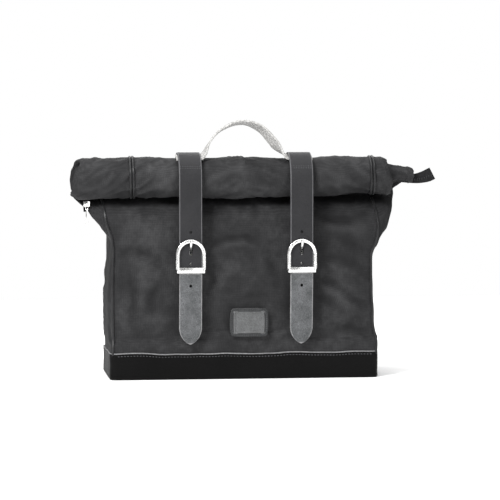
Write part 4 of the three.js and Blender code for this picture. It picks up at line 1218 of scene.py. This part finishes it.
for side, x in SIDES:
    frame_shape = horseshoe(x, 155.6, 176.5, 18.4, 5.2, 4.0, -93.7)
    block(frame_shape, (x - 18.6, -95.0, 150.3), (x + 18.6, -91.9, 158.4), 1.1)
    for end in (-1, 1):
        a, b = sorted((x + end * 16.3, x + end * 19.6))
        block(frame_shape, (a, -95.4, 150.3), (b, -81.6, 157.6), 1.0)
    bar = bar_along([Vector((x - 19, BAR_Y, BAR_Z)) * MM, Vector((x + 19, BAR_Y, BAR_Z)) * MM], 2 * MM, 12)
    piece(f"{side}_buckle_frame_cast", joined(frame_shape, bar), nickel, f"{side}_buckle",
          (f"{side}_buckle_frame",))
print("buckle frames made")

# %% [markdown]
# A tongue is a bent wire that hangs on the bar by an eye, rises through the strap's hole and rests on the
# frame's arch. It is thickest where it bends and thin at its tip.

# %% Tongues
EYE_RADIUS = 3.0
tongue_line = [(-81.3, 151.0), (-80.6, 156), (-81.0, 166), (-81.2, 172), (-83.6, 177.6), (-88.2, 182.4),
               (-93, 187), (-96.6, 190.6), (-97.2, 194.0), (-96.8, 197.6)]
tongue_radii = [r * MM for r in (1.3, 1.4, 1.4, 1.4, 1.4, 1.45, 1.45, 1.4, 1.2, 0.7)]
for side, x in SIDES:
    tongue = bar_along([Vector((x, y, z)) * MM for y, z in tongue_line], tongue_radii, 12)
    bmesh.ops.scale(tongue, vec=(1.25, 1, 1), verts=tongue.verts,
                    space=Matrix.Translation((-x * MM, 0, 0)))
    angles = [a / 12 * math.pi for a in range(24)]
    eye = [Vector((x, BAR_Y + EYE_RADIUS * math.cos(a), BAR_Z + EYE_RADIUS * math.sin(a))) * MM
           for a in angles]
    ring = bar_along(eye, 0.9 * MM, 8, closed=True)
    piece(f"{side}_buckle_tongue_wire", joined(tongue, ring), nickel, f"{side}_tongue",
          (f"{side}_buckle_tongue",))
print("tongues made")

# %% [markdown]
# ## The handle
# One strip of pale leather runs from under one strap, up over the roll's middle and down under the other.
# It leans: at the left it is seen edge-on, and towards the right it twists to show its face.

# %% Smooth curves
def curve_through(knots, count, steps=12):
    """Evenly spaced points on a smooth curve through knots."""
    points = []
    padded_knots = [knots[0]] + knots + [knots[-1]]
    for a, b, c, d in zip(padded_knots, padded_knots[1:], padded_knots[2:], padded_knots[3:]):
        for k in range(steps):
            t = k / steps
            points.append(tuple(0.5 * (2 * q + (r - p) * t + (2 * p - 5 * q + 4 * r - s) * t * t +
                                       (3 * q - p - 3 * r + s) * t ** 3) for p, q, r, s in zip(a, b, c, d)))
    points.append(knots[-1])
    lengths = [0.0]
    for a, b in zip(points, points[1:]):
        lengths.append(lengths[-1] + math.dist(a, b))
    even = []
    for k in range(count):
        want = lengths[-1] * k / (count - 1)
        j = next((i for i in range(1, len(lengths)) if lengths[i] >= want - 1e-9), len(lengths) - 1)
        share = (want - lengths[j - 1]) / max(lengths[j] - lengths[j - 1], 1e-9)
        even.append(tuple(mix(a, b, share) for a, b in zip(points[j - 1], points[j])))
    return even


# %% [markdown]
# The strip lies flat under each strap, tilted as the roll is there. Between them it arches up, edge-on at
# the left and twisted towards the front at the right.

# %% The handle's strip
HANDLE_Y = -62.458
handle_knots = [(-96, 310.6), (-80, 310.6), (-68, 310.6), (-61, 311.2), (-55.5, 317), (-49, 331),
                (-37, 346), (-22, 355), (-10, 359.0), (2, 359.4), (14, 356), (26, 349), (38, 336),
                (50, 321.5), (56, 315), (61, 311.4), (68, 310.6), (82, 310.6), (96, 310.6)]
handle_line = [(x, HANDLE_Y, z) for x, z in curve_through(handle_knots, 72)]


def handle_turn(share):
    """The strip's twist: edge-on at the left, half turned to the front at the right."""
    flat_end = min(max((0.25 - min(share, 1 - share)) / 0.1, 0), 1)
    twist = read_off([(0, 0), (0.3, -6), (0.5, -14), (0.62, -24), (0.78, -30), (0.9, -8), (1, 0)], share)
    return mix(twist, 16, flat_end)


handle = band(handle_line, 21, 3, across=(0, 1, 0), ease=0.6, turn=handle_turn)
piece("handle_strip", handle, (handle_leather, handle_leather),
      stands_for=("handle_grip", "handle_foot_left", "handle_foot_right"),
      between=("root", "handle", (0, HANDLE_Y * MM, 0.314), (0, HANDLE_Y * MM, 0.336)))
print("handle made")

# %% [markdown]
# ## The label
# A small pressed patch with bowed sides, stitched on round its rim. Its middle panel is pressed a
# little lower inside a raised frame, and is left plain.

# %% Make the label
LABEL_X, LABEL_Z, LABEL_W, LABEL_H, LABEL_FACE = 5.0, 80.0, 54.0, 40.0, -81.3
FRAME_HALF_W, FRAME_HALF_H, FRAME_PROUD, PANEL_SUNK = 20.5, 14.5, 1.0, 0.5
bm = bmesh.new()
bmesh.ops.create_grid(bm, x_segments=54, y_segments=40, size=0.5)
for vert in bm.verts:
    u, v = vert.co.x, vert.co.y
    corner = 1 - 0.05 * (2 * u) ** 8 * (2 * v) ** 8
    bow = 1 - 0.07 * (2 * v) ** 2
    x = LABEL_X + LABEL_W * u * bow * corner
    z = LABEL_Z + LABEL_H * v * (1 - 0.02 * (2 * u) ** 2) * corner
    inner = max(abs(x - LABEL_X) / FRAME_HALF_W, abs(z - LABEL_Z) / FRAME_HALF_H)
    frame_line = math.exp(-((inner - 1) / 0.05) ** 2)
    y = LABEL_FACE - FRAME_PROUD * frame_line + (PANEL_SUNK if inner < 0.92 else 0.0)
    vert.co = Vector((x, y + 0.0009 * (x - LABEL_X) ** 2, z)) * MM
bmesh.ops.recalc_face_normals(bm, faces=bm.faces)
if bm.faces[:][0].normal.y > 0:
    bmesh.ops.reverse_faces(bm, faces=bm.faces)
bmesh.ops.solidify(bm, geom=bm.faces[:], thickness=1.7 * MM)
bmesh.ops.recalc_face_normals(bm, faces=bm.faces)
for face in bm.faces:
    middle = face.calc_center_median() / MM
    inner = max(abs(middle.x - LABEL_X) / FRAME_HALF_W, abs(middle.z - LABEL_Z) / FRAME_HALF_H)
    face.material_index = 1 if abs(face.normal.y) < 0.5 else 2 if inner > 1.06 else 0
piece("label_patch_pressed", bm, (label_leather, cut_edge, label_rim), "root",
      ("label_patch",), sharp=55)
print("label made")

# %% [markdown]
# The label is sewn down all round, just inside its edge, with finer stitches than the tray's. The line
# that they follow has the label's own bowed sides and tight corners.

# %% Label stitching
def label_edge(inset):
    """The label's outline, drawn in by inset, in millimetres."""
    line = []
    for k in range(97):
        angle = 2 * math.pi * k / 96
        c, s = math.cos(angle), math.sin(angle)
        grow = (abs(c) ** 9 + abs(s) ** 9) ** (-1 / 9)
        u, v = c * grow, s * grow
        line.append((LABEL_X + (LABEL_W / 2 - inset) * u * (1 - 0.07 * v * v), LABEL_FACE - 0.1,
                     LABEL_Z + (LABEL_H / 2 - inset) * v))
    return line


def off_the_front(_):
    return (0, -1, 0)


piece("label_stitching", stitch_row(label_edge(2.4), off_the_front, 2.6, 1.9, 0.4), thread, "root")
print("label stitched")

# %% [markdown]
# ## Zip, slider and puller
# The hem that is rolled in carries a zip. Its tape shows where it comes out of the roll at the right, as a
# twisted black strip with its teeth along one edge, and as a folded nub under the left wing, where
# the slider has stopped with its long puller hanging.

# %% Make the zip's ends
tape_path = curve_through([(226, -52.0, 279.0), (240, -53.4, 279.6), (250, -54, 280.6), (261, -54.8, 283.4),
                           (269.5, -56, 287.4)], 14)
tape = band(tape_path, 18, 1.3, across=(-0.45, 0.1, 1.0), ease=0.3, lanes=8,
            outline=lambda s: mix(0.5, 1.0, min(1, s * 1.2)))
teeth = []
for k in range(4, 13):
    x, y, z = tape_path[min(k, 13)]
    tooth = bmesh.new()
    block(tooth, (x + 1.2 - 0.5, y - 1.5, z - 3.2), (x + 1.2 + 0.5, y + 1.2, z + 0.2), 0.25, 1)
    teeth.append(tooth)
piece("zip_tape_end", tape, (polyester_tape, polyester_tape), "root", ("zip_tape_right",))
piece("zip_teeth", joined(*teeth), nylon, "root")
nub_path = curve_through([(-219, -44.5, 256), (-220, -44.6, 248), (-220.5, -44.5, 241),
                          (-220, -44.3, 235)], 10)
piece("zip_tape_nub", band(nub_path, 8, 1.4, across=(1, 0.2, 0), ease=0.3), (polyester_tape, polyester_tape),
      "root", ("zip_tape_left",))


print("zip's ends made")

# %% [markdown]
# The slider is two cast plates joined by a neck, with a bail for its puller. The puller is a flat bar
# with a thicker end to hold, and hangs from a wire ring. They are separate pieces, since one slides along
# the tape and the other swings.

# %% Slider and puller
slider = bmesh.new()
block(slider, (-224.5, -50.4, 242), (-215.5, -48.4, 250), 0.8)
block(slider, (-224.5, -46.4, 242), (-215.5, -42.4, 250), 0.8)
block(slider, (-222.2, -49.4, 246.4), (-217.8, -43.2, 249.4), 0.6)
loop = [Vector((-220, -50.6 - 1.8 * math.sin(a / 8 * math.pi), 246.4 - 2.6 * math.cos(a / 8 * math.pi))) * MM
        for a in range(9)]
piece("zip_slider_cast", joined(slider, bar_along(loop, 0.6 * MM, 8)), nickel, "slider",
      ("zip_slider",))
puller = bmesh.new()
block(puller, (-221.4, -50.1, 217.0), (-218.6, -48.9, 238.5), 0.5)
block(puller, (-222.0, -50.3, 216.8), (-218.0, -48.7, 220.5), 0.7)
ring = [Vector((-220 + 1.9 * math.sin(a / 8 * math.pi), -49.5, 242.4 + 4.4 * math.cos(a / 8 * math.pi))) * MM
        for a in range(16)]
piece("zip_puller_bar", joined(puller, bar_along(ring, 0.55 * MM, 8, closed=True)), nickel, "puller",
      ("zip_puller",))
print("slider and puller made")

# %% [markdown]
# ## Rivets, rail, hooks and stay
# The rivets have low domed heads, turned from a profile, with a plain shank. A head could be a squashed
# ball, but its rim needs the short straight edge that a profile gives.

# %% Rivets
def spun(profile, centre, steps=20):
    """A turned piece about Y: a line of (radius, place along the axis) spun round, in millimetres."""
    bm = bmesh.new()
    verts = [bm.verts.new((r * MM, 0, h * MM)) for r, h in profile]
    edges = [bm.edges.new(pair) for pair in zip(verts, verts[1:])]
    bmesh.ops.spin(bm, geom=verts + edges, cent=(0, 0, 0), axis=(0, 0, 1), angle=2 * math.pi, steps=steps,
                   use_merge=True)
    bmesh.ops.remove_doubles(bm, verts=bm.verts, dist=1e-6)
    bmesh.ops.recalc_face_normals(bm, faces=bm.faces)
    turn = Matrix.Rotation(-math.pi / 2, 4, "X")
    bmesh.ops.transform(bm, matrix=Matrix.Translation(Vector(centre) * MM) @ turn, verts=bm.verts)
    return bm


SHANK_RADIUS = 1.5 * MM
head_profile = [(0, 1.7), (1.6, 1.55), (3.2, 1.0), (4.2, 0.2), (4.3, -0.3), (0, -0.3)]
for side, x in SIDES:
    front_head = spun([(r, -h) for r, h in head_profile], (x, -84.0, 116))
    shank = bar_along([Vector((x, -84, 116)) * MM, Vector((x, -74, 116)) * MM], SHANK_RADIUS, 12)
    piece(f"{side}_chape_rivet_domed", joined(front_head, shank), steel, "root",
          (f"{side}_chape_rivet",))
    back_head = spun(head_profile, (x, 75.8, 168))
    shank = bar_along([Vector((x, 76, 168)) * MM, Vector((x, 66, 168)) * MM], SHANK_RADIUS, 12)
    piece(f"{side}_strap_rivet_domed", joined(back_head, shank), steel, "root",
          (f"{side}_strap_rivet",))

print("rivets made")

# %% [markdown]
# The rail, its caps and screws, the hooks, the stay and the boards keep the CAD model's own shapes, which
# are right already, and get their real finishes.

# %% Finishes of the hardware
hardware = {
    aluminium: ["hook_rail"],
    nylon: ["rail_cap_left", "rail_cap_right", "left_hook_body", "right_hook_body", "left_hook_lever",
            "right_hook_lever", "stay_plate", "stay_arm"],
    steel: ["rail_backing", "left_hook_pin", "right_hook_pin", "stay_pivot", "stay_backing",
            "rail_screw_1", "rail_screw_2", "rail_screw_3", "rail_screw_4", "stay_screw_1",
            "stay_screw_2"],
    board: ["base_board", "back_board"],
}
for finish, nodes in hardware.items():
    for node in nodes:
        materials = bpy.data.objects[node].data.materials
        materials.clear()
        materials.append(finish)
print("hardware finished:", sum(len(nodes) for nodes in hardware.values()))
